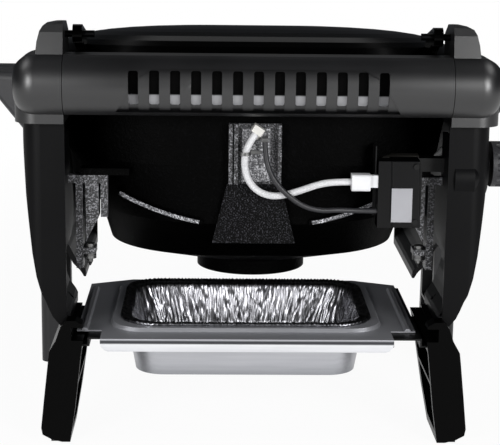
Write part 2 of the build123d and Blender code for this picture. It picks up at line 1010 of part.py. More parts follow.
with BuildPart() as drain_collar:
    rod(Plane.XY.offset(collar_floor), (0, bowl_y), collar_radius, bowl_floor - collar_floor)
    rod(
        Plane.XY.offset(collar_floor - over),
        (0, bowl_y),
        collar_radius - collar_wall,
        bowl_floor - collar_floor + 2 * over,
        mode=Mode.SUBTRACT,
    )
drain_collar.part.label = "drain_collar"

# Grates
with BuildPart() as grate_gaps:
    rounded_plate(
        (0, bowl_y),
        ledge_half_x - grate_margin - grate_rim,
        ledge_half_y - grate_margin - grate_rim,
        ledge_corner - grate_margin - grate_rim,
        (ledge_z - over, ledge_z + grate_height + over),
    )
    block(
        (-body_half, grate_gap + grate_rim),
        (-body_half, body_half),
        (ledge_z - over, ledge_z + grate_height + over),
        mode=Mode.SUBTRACT,
    )
    with BuildSketch(Plane.XY.offset(ledge_z - over)):
        with Locations((grate_gap + grate_rim + grate_rows * grate_pitch / 2, bowl_y)):
            with GridLocations(grate_pitch, grate_slot_length + grate_cross, grate_rows, 2):
                Rectangle(grate_pitch - grate_bar, grate_slot_length)
    extrude(amount=grate_height + 2 * over, mode=Mode.INTERSECT)
with BuildPart() as grate_right:
    rounded_plate(
        (0, bowl_y),
        ledge_half_x - grate_margin,
        ledge_half_y - grate_margin,
        ledge_corner - grate_margin,
        (ledge_z, ledge_z + grate_height),
    )
    block(
        (-body_half, grate_gap),
        (-body_half, body_half),
        (ledge_z - over, ledge_z + grate_height + over),
        mode=Mode.SUBTRACT,
    )
    add(grate_gaps.part, mode=Mode.SUBTRACT)
grate_right.part.label = "grate_right"
with BuildPart() as grate_left:
    mirror(grate_right.part, about=Plane.YZ)
grate_left.part.label = "grate_left"

# Lid
lid_sections = []
lid_inner_sections = []
dome_end = (1 - (1 - lid_inset_shares[-1]) ** lid_dome_power) ** lid_edge_power
for inset_share in lid_inset_shares:
    dome_share = (1 - (1 - inset_share) ** lid_dome_power) ** lid_edge_power / dome_end
    section_z = lid_floor + dome_share * (lid_top - lid_floor)
    half_x = lid_half_x - inset_share * lid_half_y
    half_y = lid_half_y - inset_share * lid_half_y
    corner = lid_corner - lid_corner_ease_share * inset_share * lid_half_y
    lid_sections.append((section_z, half_x, half_y, corner))
    lid_inner_sections.append(
        (section_z - lid_wall, half_x - lid_wall, half_y - lid_wall, corner - lid_wall)
    )


def lid_form(sections):
    """Loft of the dome, whose sections lean more and more to the front towards its top."""
    rings = []
    for height, half_x, half_y, corner in sections:
        lean = radians(lid_tilt) * (height - lid_floor) / (lid_top - lid_floor)
        level = Plane((0, bowl_y, height), x_dir=(1, 0, 0), z_dir=(0, -sin(lean), cos(lean)))
        with BuildSketch(level) as ring:
            RectangleRounded(2 * half_x, 2 * half_y, corner)
        rings.append(ring.sketch)
    loft(rings, ruled=True)


with BuildPart() as lid_outside:
    lid_form(lid_sections)
with BuildPart() as lid_inside:
    lid_form(lid_inner_sections)
with BuildPart() as hinge_arm:
    prism(
        side_plane(lug_in),
        placed(
            arm_shares,
            (hinge_y - arm_reach, hinge_z - 2 * lug_radius),
            (hinge_y, hinge_z + lug_radius),
        ),
        lug_out - lug_in,
    )
    rod(side_plane(lug_in), (hinge_y, hinge_z), lug_radius, lug_out - lug_in)
with BuildPart() as lid:
    add(lid_outside.part)
    add(hinge_arm.part)
    mirror(hinge_arm.part, about=Plane.YZ)
    add(lid_inside.part, mode=Mode.SUBTRACT)
    rod(
        side_plane(-lug_out - over),
        (hinge_y, hinge_z),
        pin_radius + pin_fit,
        2 * lug_out + 2 * over,
        mode=Mode.SUBTRACT,
    )
lid.part.label = "lid"

with BuildPart() as hinge_pin_right:
    rod(side_plane(pin_inner), (hinge_y, hinge_z), pin_radius, pin_outer - pin_inner)
hinge_pin_right.part.label = "hinge_pin_right"
with BuildPart() as hinge_pin_left:
    mirror(hinge_pin_right.part, about=Plane.YZ)
hinge_pin_left.part.label = "hinge_pin_left"

with BuildPart() as lid_handle:
    block((-grip_half, grip_half), (grip_front, grip_rear), (grip_floor, grip_floor + grip_height))
    fillet(lid_handle.edges().filter_by(Axis.X), radius=grip_round)
    fillet(lid_handle.faces().sort_by(Axis.X)[0].edges(), radius=grip_round / 2)
    fillet(lid_handle.faces().sort_by(Axis.X)[-1].edges(), radius=grip_round / 2)
lid_handle.part.label = "lid_handle"
grip_middle = grip_floor + grip_height / 2
with BuildPart() as lid_handle_post_right:
    block(
        (post_x - post_width / 2, post_x + post_width / 2),
        (grip_rear, bowl_y - lid_half_y + post_bury),
        (grip_middle - post_height / 2, grip_middle + post_height / 2),
    )
    add(lid_outside.part, mode=Mode.SUBTRACT)
lid_handle_post_right.part.label = "lid_handle_post_right"
with BuildPart() as lid_handle_post_left:
    mirror(lid_handle_post_right.part, about=Plane.YZ)
lid_handle_post_left.part.label = "lid_handle_post_left"

# Carry handles
arm_slope = (arm_front_z - arm_rear_z) / (arm_front_y - arm_rear_y)
handle_route = [
    (frame_out + root_reach / 2, arm_rear_y, arm_rear_z),
    (handle_reach, arm_rear_y, arm_rear_z),
    (handle_reach, arm_front_y, arm_front_z),
    (frame_out + root_reach / 2, arm_front_y, arm_front_z),
]
with BuildPart() as carry_handle_right:
    with BuildLine() as handle_line:
        FilletPolyline(*handle_route, radius=handle_bend)
    with BuildSketch(Plane(handle_route[0], x_dir=(0, 1, arm_slope), z_dir=(1, 0, 0))):
        Ellipse(handle_thick / 2, handle_tall / 2)
    sweep()
    for root_y, root_z, root_tall, arm_z in (
        (arm_rear_y, root_rear_z, root_rear_tall, arm_rear_z),
        (arm_front_y, arm_front_z, root_front_tall, arm_front_z),
    ):
        with BuildSketch(side_plane(frame_out)):
            with Locations((root_y, root_z)):
                RectangleRounded(root_thick, root_tall, root_round)
        with BuildSketch(side_plane(frame_out + root_reach)):
            with Locations((root_y, arm_z)):
                RectangleRounded(handle_thick, handle_tall, root_round)
        loft()
carry_handle_right.part.label = "carry_handle_right"
with BuildPart() as carry_handle_left:
    mirror(carry_handle_right.part, about=Plane.YZ)
carry_handle_left.part.label = "carry_handle_left"

# Legs
leg_profile = [
    (leg_rear, leg_floor),
    (leg_front_low, leg_floor),
    (leg_front_high, frame_floor),
    (frame_rear, frame_floor),
    (frame_rear, leg_top + over),
    (leg_rear, leg_top + over),
]
leg_hollow_profile = [
    (leg_rear - leg_wall, leg_floor + front_leg_sole),
    (leg_front_low + 2 * leg_wall, leg_floor + front_leg_sole),
    (leg_front_high + 2 * leg_wall, frame_floor - leg_wall),
    (leg_rear - leg_wall, frame_floor - leg_wall),
]
rear_leg_outline = placed(leg_shares, (leg_in, leg_floor), (leg_out, leg_top))
leg_rib_z = leg_floor + leg_rib_share * (leg_top - leg_floor)
pad_in = leg_in + leg_shares[0][0] * (leg_out - leg_in) + pad_inset
pad_out = pad_in + 2 * pad_height
pad_front = leg_front_low + pad_inset
with BuildPart() as leg_hollow:
    prism(
        rear_plane(leg_rear),
        [(x - leg_wall, z) for x, z in rear_leg_outline],
        leg_rear - leg_front_high,
    )
    prism(
        side_plane(leg_in - 2 * leg_wall),
        leg_hollow_profile,
        leg_out - leg_in + 3 * leg_wall,
        Mode.INTERSECT,
    )
    for rib_top in (leg_rib_z + leg_rib_wall, rail_floor):
        block(
            (leg_in - 2 * leg_wall, leg_out + over),
            (leg_front_high, leg_rear),
            (rib_top - leg_rib_wall, rib_top),
            mode=Mode.SUBTRACT,
        )
with BuildPart() as rear_leg_right:
    prism(rear_plane(leg_rear), rear_leg_outline, leg_rear - leg_front_high)
    prism(side_plane(leg_in - over), leg_profile, leg_out - leg_in + 2 * over, mode=Mode.INTERSECT)
    add(leg_hollow.part, mode=Mode.SUBTRACT)
    # notch that the tray's flange slides through
    block(
        (leg_in - over, tray_notch_half),
        (leg_front_high, leg_rear + over),
        (tray_notch_floor, tray_notch_top),
        mode=Mode.SUBTRACT,
    )
    block(
        (pad_in - pad_play, pad_out + pad_play),
        (pad_front - pad_play, leg_rear - pad_inset + pad_play),
        (0, pad_height),
        mode=Mode.SUBTRACT,
    )
    for screw_y in (rear_screw_front, rear_screw_rear):
        rod(
            Plane.XY.offset(frame_floor - leg_wall - over),
            (rear_screw_x, screw_y),
            screw_radius + screw_fit,
            leg_wall + 2 * over,
            mode=Mode.SUBTRACT,
        )
        rod(
            Plane.XY.offset(frame_floor - leg_wall - screw_head_height - screw_fit),
            (rear_screw_x, screw_y),
            small_head_radius + screw_fit,
            screw_head_height + screw_fit,
            mode=Mode.SUBTRACT,
        )
rear_leg_right.part.label = "rear_leg_right"
with BuildPart() as rear_leg_left:
    mirror(rear_leg_right.part, about=Plane.YZ)
rear_leg_left.part.label = "rear_leg_left"

front_pad_in = front_leg_in + pad_inset
front_pad_out = front_leg_out - pad_inset
with BuildPart() as front_leg_right:
    with BuildSketch(Plane.XY.offset(leg_floor)) as sole:
        Polygon(
            (front_leg_in, front_leg_front),
            (front_leg_out, front_leg_front),
            (front_leg_out, front_leg_rear),
            (front_leg_in, front_leg_rear),
        )
        fillet(sole.vertices().group_by(Axis.X)[-1], radius=front_leg_corner)
    extrude(amount=front_leg_top - leg_floor)
    prism(
        side_plane(front_leg_in - over),
        placed(
            front_leg_shares, (front_leg_front, leg_floor), (front_leg_rear, front_leg_top)
        ),
        front_leg_out - front_leg_in + 2 * over,
        mode=Mode.INTERSECT,
    )
    block(
        (front_leg_in - over, front_leg_out - nylon_wall),
        (front_leg_front + 3 * nylon_wall, front_leg_rear - nylon_wall),
        (leg_floor + front_leg_sole, leg_rib_z),
        mode=Mode.SUBTRACT,
    )
    block(
        (front_leg_in - over, front_leg_out - nylon_wall),
        (front_leg_front + 4 * nylon_wall, front_leg_rear - 2 * nylon_wall),
        (leg_rib_z + leg_rib_wall, leg_screw_z - 2 * screw_head_radius),
        mode=Mode.SUBTRACT,
    )
    add(side_solid, mode=Mode.SUBTRACT)
    block(
        (front_pad_in - pad_play, front_pad_out + pad_play),
        (front_leg_front + pad_inset - pad_play, front_leg_rear - pad_inset + pad_play),
        (0, pad_height),
        mode=Mode.SUBTRACT,
    )
    for screw_y in (leg_screw_front, leg_screw_rear):
        rod(
            side_plane(leg_screw_in),
            (screw_y, leg_screw_z),
            screw_radius + screw_fit,
            front_leg_out - leg_screw_in + over,
            mode=Mode.SUBTRACT,
        )
front_leg_right.part.label = "front_leg_right"
with BuildPart() as front_leg_left:
    mirror(front_leg_right.part, about=Plane.YZ)
front_leg_left.part.label = "front_leg_left"

with BuildPart() as foot_pad_rear_right:
    block((pad_in, pad_out), (pad_front, leg_rear - pad_inset), (0, pad_height))
foot_pad_rear_right.part.label = "foot_pad_rear_right"
with BuildPart() as foot_pad_rear_left:
    mirror(foot_pad_rear_right.part, about=Plane.YZ)
foot_pad_rear_left.part.label = "foot_pad_rear_left"
with BuildPart() as foot_pad_front_right:
    block(
        (front_pad_in, front_pad_out),
        (front_leg_front + pad_inset, front_leg_rear - pad_inset),
        (0, pad_height),
    )
foot_pad_front_right.part.label = "foot_pad_front_right"
with BuildPart() as foot_pad_front_left:
    mirror(foot_pad_front_right.part, about=Plane.YZ)
foot_pad_front_left.part.label = "foot_pad_front_left"

# Front panel
with BuildPart() as front_panel:
    with BuildSketch(Plane.XY.offset(panel_floor)):
        with BuildLine():
            ThreePointArc(
                (-frame_inner, frame_front), (0, frame_front - panel_bow), (frame_inner, frame_front)
            )
            Line((frame_inner, frame_front), (frame_inner, frame_front + panel_wall))
            ThreePointArc(
                (frame_inner, frame_front + panel_wall),
                (0, frame_front - panel_bow + panel_wall),
                (-frame_inner, frame_front + panel_wall),
            )
            Line((-frame_inner, frame_front + panel_wall), (-frame_inner, frame_front))
        make_face()
    extrude(amount=panel_top - panel_floor)
front_panel.part.label = "front_panel"

# Gas line and control
with BuildPart() as gas_valve:
    rod(side_plane(-neck_out), (control_y, control_z), neck_radius, neck_out - neck_in)
    rod(side_plane(-neck_in), (control_y, control_z), nozzle_radius, neck_in - nozzle_in)
    block(
        (-valve_out, -neck_out),
        (control_y - valve_half, control_y + valve_half),
        (control_z - valve_half, control_z + valve_half),
    )
    rod(
        side_plane(-valve_out - over),
        (control_y, control_z),
        shaft_radius + run_gap,
        shaft_bore_depth + over,
        mode=Mode.SUBTRACT,
    )
gas_valve.part.label = "gas_valve"

with BuildPart() as control_shaft:
    rod(side_plane(-shaft_out), (control_y, control_z), shaft_radius, shaft_out - shaft_in)
control_shaft.part.label = "control_shaft"

with BuildPart() as control_knob:
    rod(side_plane(-knob_in - knob_skirt), (control_y, control_z), knob_radius, knob_skirt)
    with BuildSketch(side_plane(-knob_out)) as grip_section:
        with Locations((control_y, control_z)):
            Circle(knob_radius)
            with PolarLocations(knob_radius + knob_flute_radius / 2, knob_flutes):
                Circle(knob_flute_radius, mode=Mode.SUBTRACT)
    extrude(amount=knob_out - knob_in - knob_skirt)
    fillet(control_knob.faces().sort_by(Axis.X)[0].edges(), radius=knob_edge)
    rod(
        side_plane(-shaft_out - run_gap),
        (control_y, control_z),
        shaft_radius + run_gap,
        shaft_out - knob_in + run_gap + over,
        mode=Mode.SUBTRACT,
    )
control_knob.part.label = "control_knob"

with BuildPart() as knob_bezel:
    rod(side_plane(-flare_out - bezel_wall), (control_y, control_z), bezel_radius, bezel_wall)
    rod(
        side_plane(-flare_out - bezel_wall - over),
        (control_y, control_z),
        bezel_bore,
        bezel_wall + 2 * over,
        mode=Mode.SUBTRACT,
    )
knob_bezel.part.label = "knob_bezel"

valve_middle = -(neck_out + valve_out) / 2
inlet_inner = frame_front + nylon_wall + inlet_nut_length
pipe_route = [
    (valve_middle, control_y - valve_half, control_z),
    (valve_middle, control_y - valve_half - pipe_bend, control_z),
    (-pipe_x, control_y - valve_half - 4 * pipe_bend, control_z),
    (-pipe_x, inlet_inner + 4 * pipe_bend, inlet_z),
    (-inlet_x, inlet_inner + 2 * pipe_bend, inlet_z),
    (-inlet_x, inlet_inner, inlet_z),
]
with BuildPart() as gas_pipe:
    with BuildLine():
        FilletPolyline(*pipe_route, radius=pipe_bend)
    with BuildSketch(rear_plane(control_y - valve_half)):
        with Locations((valve_middle, control_z)):
            Circle(pipe_radius)
    sweep()
gas_pipe.part.label = "gas_pipe"

with BuildPart() as gas_inlet:
    rod(rear_plane(inlet_inner), (-inlet_x, inlet_z), inlet_nut_radius, inlet_nut_length)
    rod(
        rear_plane(frame_front + nylon_wall),
        (-inlet_x, inlet_z),
        inlet_body_radius,
        nylon_wall + inlet_hex_length + inlet_relief,
    )
    rod(
        rear_plane(frame_front - inlet_hex_length - inlet_relief),
        (-inlet_x, inlet_z),
        inlet_radius,
        inlet_length,
    )
    with BuildSketch(rear_plane(frame_front)):
        with Locations((-inlet_x, inlet_z)):
            RegularPolygon(inlet_hex, 6)
    extrude(amount=inlet_hex_length)
    rod(
        rear_plane(frame_front),
        (-inlet_x, inlet_z),
        inlet_bore,
        inlet_hex_length + inlet_relief + inlet_length + over,
        mode=Mode.SUBTRACT,
    )
gas_inlet.part.label = "gas_inlet"

# Burner
tube_route = [
    (-tube_start, control_y, control_z),
    (tube_half_x, control_y, control_z),
    (tube_half_x, tube_front, control_z),
    (-tube_half_x, tube_front, control_z),
    (-tube_half_x, tube_end, control_z),
]
with BuildPart() as burner_tube:
    with BuildLine():
        FilletPolyline(*tube_route, radius=tube_bend)
    with BuildSketch(side_plane(-tube_start)):
        with Locations((control_y, control_z)):
            Circle(tube_radius)
            Circle(tube_radius - tube_wall, mode=Mode.SUBTRACT)
    sweep()
    run_middle = (tube_end + tube_front) / 2
    for port_x in (-tube_half_x, tube_half_x):
        with BuildSketch(Plane.XY.offset(control_z)):
            with Locations((port_x, run_middle)):
                with GridLocations(0, port_pitch, 1, port_count):
                    Circle(port_radius)
        extrude(amount=tube_radius + over, mode=Mode.SUBTRACT)
    with BuildSketch(Plane.XY.offset(control_z)):
        with Locations((0, tube_front)):
            with GridLocations(port_pitch, 0, port_count - 2, 1):
                Circle(port_radius)
    extrude(amount=tube_radius + over, mode=Mode.SUBTRACT)
burner_tube.part.label = "burner_tube"
with BuildPart() as burner_plug:
    rod(rear_plane(tube_end + plug_length), (-tube_half_x, control_z), tube_radius, plug_length)
burner_plug.part.label = "burner_plug"

# Burner bracket and deflector
bowl_back = bowl_y + bowl_half_y
bracket_face = bowl_back + bracket_wall
with BuildPart() as burner_bracket:
    block((-bracket_left, bracket_right), (bowl_back, bracket_face), (bracket_floor, bracket_top))
    rib_step = bracket_rib + bracket_rib_gap
    for rib_x in (
        bracket_right - bracket_rib,
        bracket_right - bracket_rib - rib_step,
        -bracket_left,
    ):
        block(
            (rib_x, rib_x + bracket_rib),
            (bracket_face, bracket_face + bracket_rib_reach),
            (bracket_floor + 2 * bracket_rib, bracket_top),
        )
    rod(
        rear_plane(bracket_face + over),
        (electrode_x, electrode_z),
        electrode_radius + run_gap,
        bracket_wall + 2 * over,
        mode=Mode.SUBTRACT,
    )
burner_bracket.part.label = "burner_bracket"
pad_face = bracket_face + bracket_pad_wall
with BuildPart() as bracket_pad:
    block((-pad_left, pad_right), (bracket_face, pad_face), (bracket_pad_floor, bracket_pad_top))
    fillet(bracket_pad.faces().sort_by(Axis.Y)[-1].edges(), radius=bracket_rib / 2)
    rod(
        rear_plane(pad_face + over),
        (electrode_x, electrode_z),
        electrode_radius + run_gap,
        bracket_pad_wall + 2 * over,
        mode=Mode.SUBTRACT,
    )
bracket_pad.part.label = "bracket_pad"

with BuildPart() as deflector_plate:
    prism(
        rear_plane(bracket_face + deflector_wall),
        [
            (deflector_half * deflector_left_shares[0], deflector_top),
            (deflector_half * deflector_left_shares[1], deflector_floor),
            (deflector_half * deflector_right_shares[1], deflector_floor),
            (deflector_half * deflector_right_shares[0], deflector_top),
        ],
        deflector_wall,
    )
deflector_plate.part.label = "deflector_plate"

with BuildPart() as electrode:
    rod(rear_plane(pad_face), (electrode_x, electrode_z), electrode_radius, electrode_reach)
    rod(
        rear_plane(pad_face - electrode_reach + 2 * wire_radius),
        (electrode_x, electrode_z),
        electrode_radius / 2,
        over + 3 * wire_radius,
    )
    rod(
        Plane.XY.offset(electrode_z - wire_drop),
        (electrode_x, pad_face - electrode_reach - wire_radius),
        wire_radius,
        wire_drop,
    )
electrode.part.label = "electrode"


def terminal(route, half, depth, height):
    """A block on the pad, square to the lead that leaves its lower face."""
    start = Vector(route[0])
    with BuildSketch(Plane(start, x_dir=(0, 1, 0), z_dir=start - Vector(route[1]))) as foot:
        with Locations((pad_face + depth / 2 - start.Y, 0)):
            RectangleRounded(depth, 2 * half, half / 4)
    extrude(foot.sketch, amount=height)


with BuildPart() as electrode_boot:
    terminal(white_route, boot_half, boot_depth, boot_height)
electrode_boot.part.label = "electrode_boot"
with BuildPart() as ground_tab:
    terminal(grey_route, tab_half, tab_depth, tab_height)
ground_tab.part.label = "ground_tab"

# Ignition module
with BuildPart() as ignition_module:
    prism(
        rear_plane(module_rear),
        [
            (-module_split - module_lean, module_floor),
            (-module_split, module_top),
            (-module_left + module_lean, module_top),
            (-module_left, module_floor),
        ],
        module_rear - module_front,
    )
    fillet(ignition_module.faces().sort_by(Axis.Y)[-1].edges(), radius=module_edge)
ignition_module.part.label = "ignition_module"
with BuildPart() as module_side:
    prism(
        rear_plane(module_side_rear),
        [
            (-module_side_in, module_side_floor),
            (-module_side_in, module_side_top),
            (-module_split, module_side_top),
            (-module_split - module_lean, module_side_floor),
        ],
        module_side_rear - module_front,
    )
module_side.part.label = "module_side"
module_plate_rear = module_front
with BuildPart() as module_bracket:
    block(
        (-frame_inner, -module_wing_x),
        (module_plate_rear - module_plate_wall, module_plate_rear),
        (module_wing_floor, module_top - module_edge),
    )
    block(
        (-neck_in + over, -module_wing_x),
        (module_plate_rear - module_plate_wall, module_plate_rear),
        (module_plate_floor, module_wing_floor),
    )
    block(
        (-module_wing_x - module_wing_wall, -module_wing_x),
        (module_plate_rear - module_plate_wall, module_wing_rear),
        (module_wing_floor, module_wing_top),
    )
module_bracket.part.label = "module_bracket"
with BuildPart() as module_label:
    block(
        (-label_out, -label_in - module_lean),
        (module_rear, module_rear + label_wall),
        (label_floor, label_top),
    )
module_label.part.label = "module_label"

with BuildPart() as connector_plug:
    block((-plug_mid, -plug_in), (plug_y - plug_half, plug_y + plug_half), (plug_floor, plug_top))
    fillet(connector_plug.edges().filter_by(Axis.X), radius=plug_round)
    block(
        (-module_side_in, -plug_mid),
        (plug_y - plug_half / 2, plug_y + plug_half / 2),
        (plug_tab_floor, module_wing_floor - over / 4),
    )
connector_plug.part.label = "connector_plug"

with BuildPart() as module_screws:
    for screw_z in (module_floor + module_screw_inset, module_top - module_screw_inset):
        rod(
            rear_plane(module_rear + over),
            (-module_left + module_screw_inset, screw_z),
            module_screw_radius,
            over,
        )
module_screws.part.label = "module_screws"


# Leads
def bend_radii(route):
    """The largest arc that each corner of a route allows, from its two runs and its turn."""
    radii = []
    for before, corner, after in zip(route, route[1:], route[2:]):
        run_in = Vector(corner) - Vector(before)
        run_out = Vector(after) - Vector(corner)
        turn = run_in.get_angle(run_out)
        shorter = min(run_in.length, run_out.length)
        radii.append(bend_share * shorter / tan(radians(turn / 2)))
    return radii


def lead(route, radius):
    """A round lead along its route, and the length of its centre line."""
    start = Vector(route[0])
    with BuildPart() as cord:
        with BuildLine() as line:
            FilletPolyline(*route, radius=bend_radii(route))
        with BuildSketch(Plane(start, z_dir=Vector(route[1]) - start)):
            Circle(radius)
        sweep()
    length = sum(edge.length for edge in line.line.edges())
    print("radii", [round(value, 1) for value in bend_radii(route)])
    print("length", round(length, 1), "volume", round(cord.part.volume, 1), end=" ")
    print("section times length", round(pi * radius**2 * length, 1))
    return cord.part


with BuildPart() as igniter_lead_white:
    add(lead(white_route, white_radius))
igniter_lead_white.part.label = "igniter_lead_white"
with BuildPart() as igniter_lead_grey:
    add(lead(grey_route, grey_radius))
igniter_lead_grey.part.label = "igniter_lead_grey"

with BuildPart() as lead_clip:
    rod(Plane.XY.offset(clip_z), (clip_x, clip_y), white_radius + clip_fit + clip_wall, clip_height)
    block(
        (clip_left, clip_x - white_radius),
        (pad_face, pad_face + clip_strap),
        (clip_z, clip_z + clip_height),
    )
    block(
        (clip_x - white_radius - clip_fit - clip_wall, clip_x - white_radius),
        (pad_face, clip_y),
        (clip_z, clip_z + clip_height),
    )
    rod(
        Plane.XY.offset(clip_z - over),
        (clip_x, clip_y),
        white_radius + clip_fit,
        clip_height + 2 * over,
        mode=Mode.SUBTRACT,
    )
lead_clip.part.label = "lead_clip"

# Cookbox carriers
arm_floor = bowl_ear_floor - carrier_arm_wall
with BuildPart() as cookbox_carrier_right:
    # upright channel: front web and three ribs
    block(
        (carrier_mid_in, carrier_outer),
        (carrier_front, carrier_front + carrier_back_wall),
        (carrier_mid_floor + carrier_mid_lift, bowl_ear_floor),
    )
    block(
        (carrier_outer - carrier_outer_wall, carrier_outer),
        (carrier_front, carrier_rear),
        (carrier_floor, bowl_ear_floor),
    )
    prism(
        rear_plane(carrier_rear),
        [
            (carrier_mid_in, carrier_mid_floor + carrier_mid_lift),
            (carrier_mid_out, carrier_mid_floor),
            (carrier_mid_out, bowl_ear_floor),
            (carrier_mid_in, bowl_ear_floor),
        ],
        carrier_rear - carrier_front - carrier_back_wall / 2,
    )
    # arm under the cookbox's ear, out to the side frame
    block(
        (carrier_in, frame_inner),
        (return_front, carrier_rear),
        (arm_floor, bowl_ear_floor),
    )
    block(
        (carrier_in, carrier_in + carrier_in_wall),
        (return_front, carrier_rear),
        (carrier_in_floor, bowl_ear_floor),
    )
    # shelf of the screw
    block(
        (carrier_shelf_in, carrier_outer),
        (carrier_front, carrier_rear),
        (carrier_shelf, carrier_shelf + carrier_shelf_wall),
    )
    rod(
        Plane.XY.offset(carrier_shelf - over),
        (carrier_screw_x, carrier_screw_y),
        screw_radius + screw_fit,
        carrier_shelf_wall + 2 * over,
        mode=Mode.SUBTRACT,
    )
cookbox_carrier_right.part.label = "cookbox_carrier_right"
with BuildPart() as cookbox_carrier_left:
    mirror(cookbox_carrier_right.part, about=Plane.YZ)
    # the valve's neck passes over the arm
    rod(
        side_plane(-frame_inner - over),
        (control_y, control_z),
        nozzle_radius + run_gap,
        frame_inner - nozzle_in + 2 * over,
        mode=Mode.SUBTRACT,
    )
cookbox_carrier_left.part.label = "cookbox_carrier_left"

with BuildPart() as cookbox_screws:
    for side in (-1, 1):
        centre = (side * carrier_screw_x, carrier_screw_y)
        rod(
            Plane.XY.offset(carrier_shelf + carrier_shelf_wall),
            centre,
            small_head_radius,
            screw_head_height,
        )
        rod(
            Plane.XY.offset(carrier_screw_tip + screw_tip),
            centre,
            screw_radius,
            carrier_shelf - carrier_screw_tip,
        )
        rod(
            Plane.XY.offset(carrier_shelf - washer_height),
            centre,
            screw_head_radius,
            washer_height,
        )
        with Locations((centre[0], centre[1], carrier_screw_tip)):
            Cone(
                screw_radius / 5,
                screw_radius,
                screw_tip,
                align=(Align.CENTER, Align.CENTER, Align.MIN),
            )
cookbox_screws.part.label = "cookbox_screws"

# Tray rails
with BuildPart() as tray_rail_right:
    prism(
        rear_plane(rail_rear),
        [
            (rail_in, rail_top),
            (rail_out, rail_top),
            (rail_out, rail_floor + rail_wall),
            (rail_foot_out, rail_floor + rail_wall),
            (rail_foot_out, rail_floor),
            (rail_out - rail_wall, rail_floor),
            (rail_out - rail_wall, rail_top - rail_wall),
            (rail_in + rail_wall, rail_top - rail_wall),
            (rail_in + rail_wall, rail_floor),
            (rail_in, rail_floor),
        ],
        rail_rear - rail_front,
    )
    block(
        (leg_in - leg_wall, rail_foot_out + over),
        (rail_front - over, leg_front_high + leg_wall * 3),
        (rail_floor - over, rail_floor + rail_wall + over),
        mode=Mode.SUBTRACT,
    )
tray_rail_right.part.label = "tray_rail_right"
with BuildPart() as tray_rail_left:
    mirror(tray_rail_right.part, about=Plane.YZ)
tray_rail_left.part.label = "tray_rail_left"

# Drip tray
tray_outline = [
    (tray_x - tray_body_half, tray_rear),
    (tray_x - tray_body_half, flange_rear),
    (tray_x - tray_half, flange_rear),
    (tray_x - tray_half, flange_front),
    (tray_x - tray_body_half + flange_corner, tray_front),
    (tray_x + tray_body_half - flange_corner, tray_front),
    (tray_x + tray_half, flange_front),
    (tray_x + tray_half, flange_rear),
    (tray_x + tray_body_half, flange_rear),
    (tray_x + tray_body_half, tray_rear),
]
pocket_y = (pocket_front + pocket_rear) / 2
pocket_half_y = (pocket_rear - pocket_front) / 2
plateau_y = (plateau_front + plateau_rear) / 2
plateau_half_y = (plateau_rear - plateau_front) / 2


def pocket(inset, low, high):
    """The pocket's tapered form, its outside or its inside."""
    dish(
        (tray_x, pocket_y),
        [
            (
                low,
                pocket_half - pocket_taper - inset,
                pocket_half_y - pocket_taper - inset,
                pocket_corner - inset,
            ),
            (high, pocket_half - inset, pocket_half_y - inset, pocket_corner - inset),
        ],
        True,
        Mode.ADD if inset == 0 else Mode.SUBTRACT,
    )


def plateau(inset, mode):
    """The raised field round the pocket, with its sloping edge."""
    top_inset = inset + plateau_slope
    dish(
        (tray_x, plateau_y),
        [
            (
                tray_z + (0 if inset else sheet / 2),
                plateau_half - inset,
                plateau_half_y - inset,
                plateau_corner - inset,
            ),
            (
                tray_z + plateau_height + (0 if inset else sheet),
                plateau_half - top_inset,
                plateau_half_y - top_inset,
                plateau_corner - top_inset,
            ),
        ],
        True,
        mode,
    )


with BuildPart() as drip_tray:
    prism(Plane.XY.offset(tray_z), tray_outline, sheet)
    plateau(0, Mode.ADD)
    plateau(sheet, Mode.SUBTRACT)
    pocket(0, pocket_floor, tray_z + plateau_height + sheet)
    pocket(sheet, pocket_floor + sheet, tray_z + plateau_height + sheet + over / 2)
    # folded rear lip
    with BuildSketch(rear_plane(tray_rear)) as lip:
        Polygon(
            (tray_x - tray_body_half, tray_z + sheet),
            (tray_x - tray_body_half, lip_floor),
            (tray_x + tray_body_half, lip_floor),
            (tray_x + tray_body_half, tray_z + sheet),
        )
        fillet(lip.vertices().sort_by(Axis.Y)[:2], radius=lip_corner)
    extrude(amount=sheet)
    # beads along the flanges
    for side in (-1, 1):
        middle = tray_x + side * bead_x
        prism(
            rear_plane(flange_rear),
            [
                (middle - bead_width / 2, tray_z + sheet / 2),
                (middle - bead_width / 5, tray_z + sheet + bead_height),
                (middle + bead_width / 5, tray_z + sheet + bead_height),
                (middle + bead_width / 2, tray_z + sheet / 2),
            ],
            flange_rear - flange_front - flange_corner,
        )
drip_tray.part.label = "drip_tray"

pan_top = tray_z + plateau_height + sheet
pan_rim_top = pan_top + pan_rim_height
with BuildPart() as foil_pan:
    rounded_plate(
        (tray_x, pocket_y), pan_rim_half_x, pan_rim_half_y, pan_rim_corner, (pan_top, pan_rim_top)
    )
    dish(
        (tray_x, pocket_y),
        [
            (pan_floor, pan_half_x - pan_taper, pan_half_y - pan_taper, pan_corner),
            (pan_top, pan_half_x, pan_half_y, pan_corner),
        ],
        True,
    )
    dish(
        (tray_x, pocket_y),
        [
            (
                pan_floor + pan_wall,
                pan_half_x - pan_taper - pan_wall,
                pan_half_y - pan_taper - pan_wall,
                pan_corner - pan_wall,
            ),
            (pan_rim_top + over / 4, pan_half_x - pan_wall, pan_half_y - pan_wall, pan_corner - pan_wall),
        ],
        True,
        Mode.SUBTRACT,
    )
foil_pan.part.label = "foil_pan"

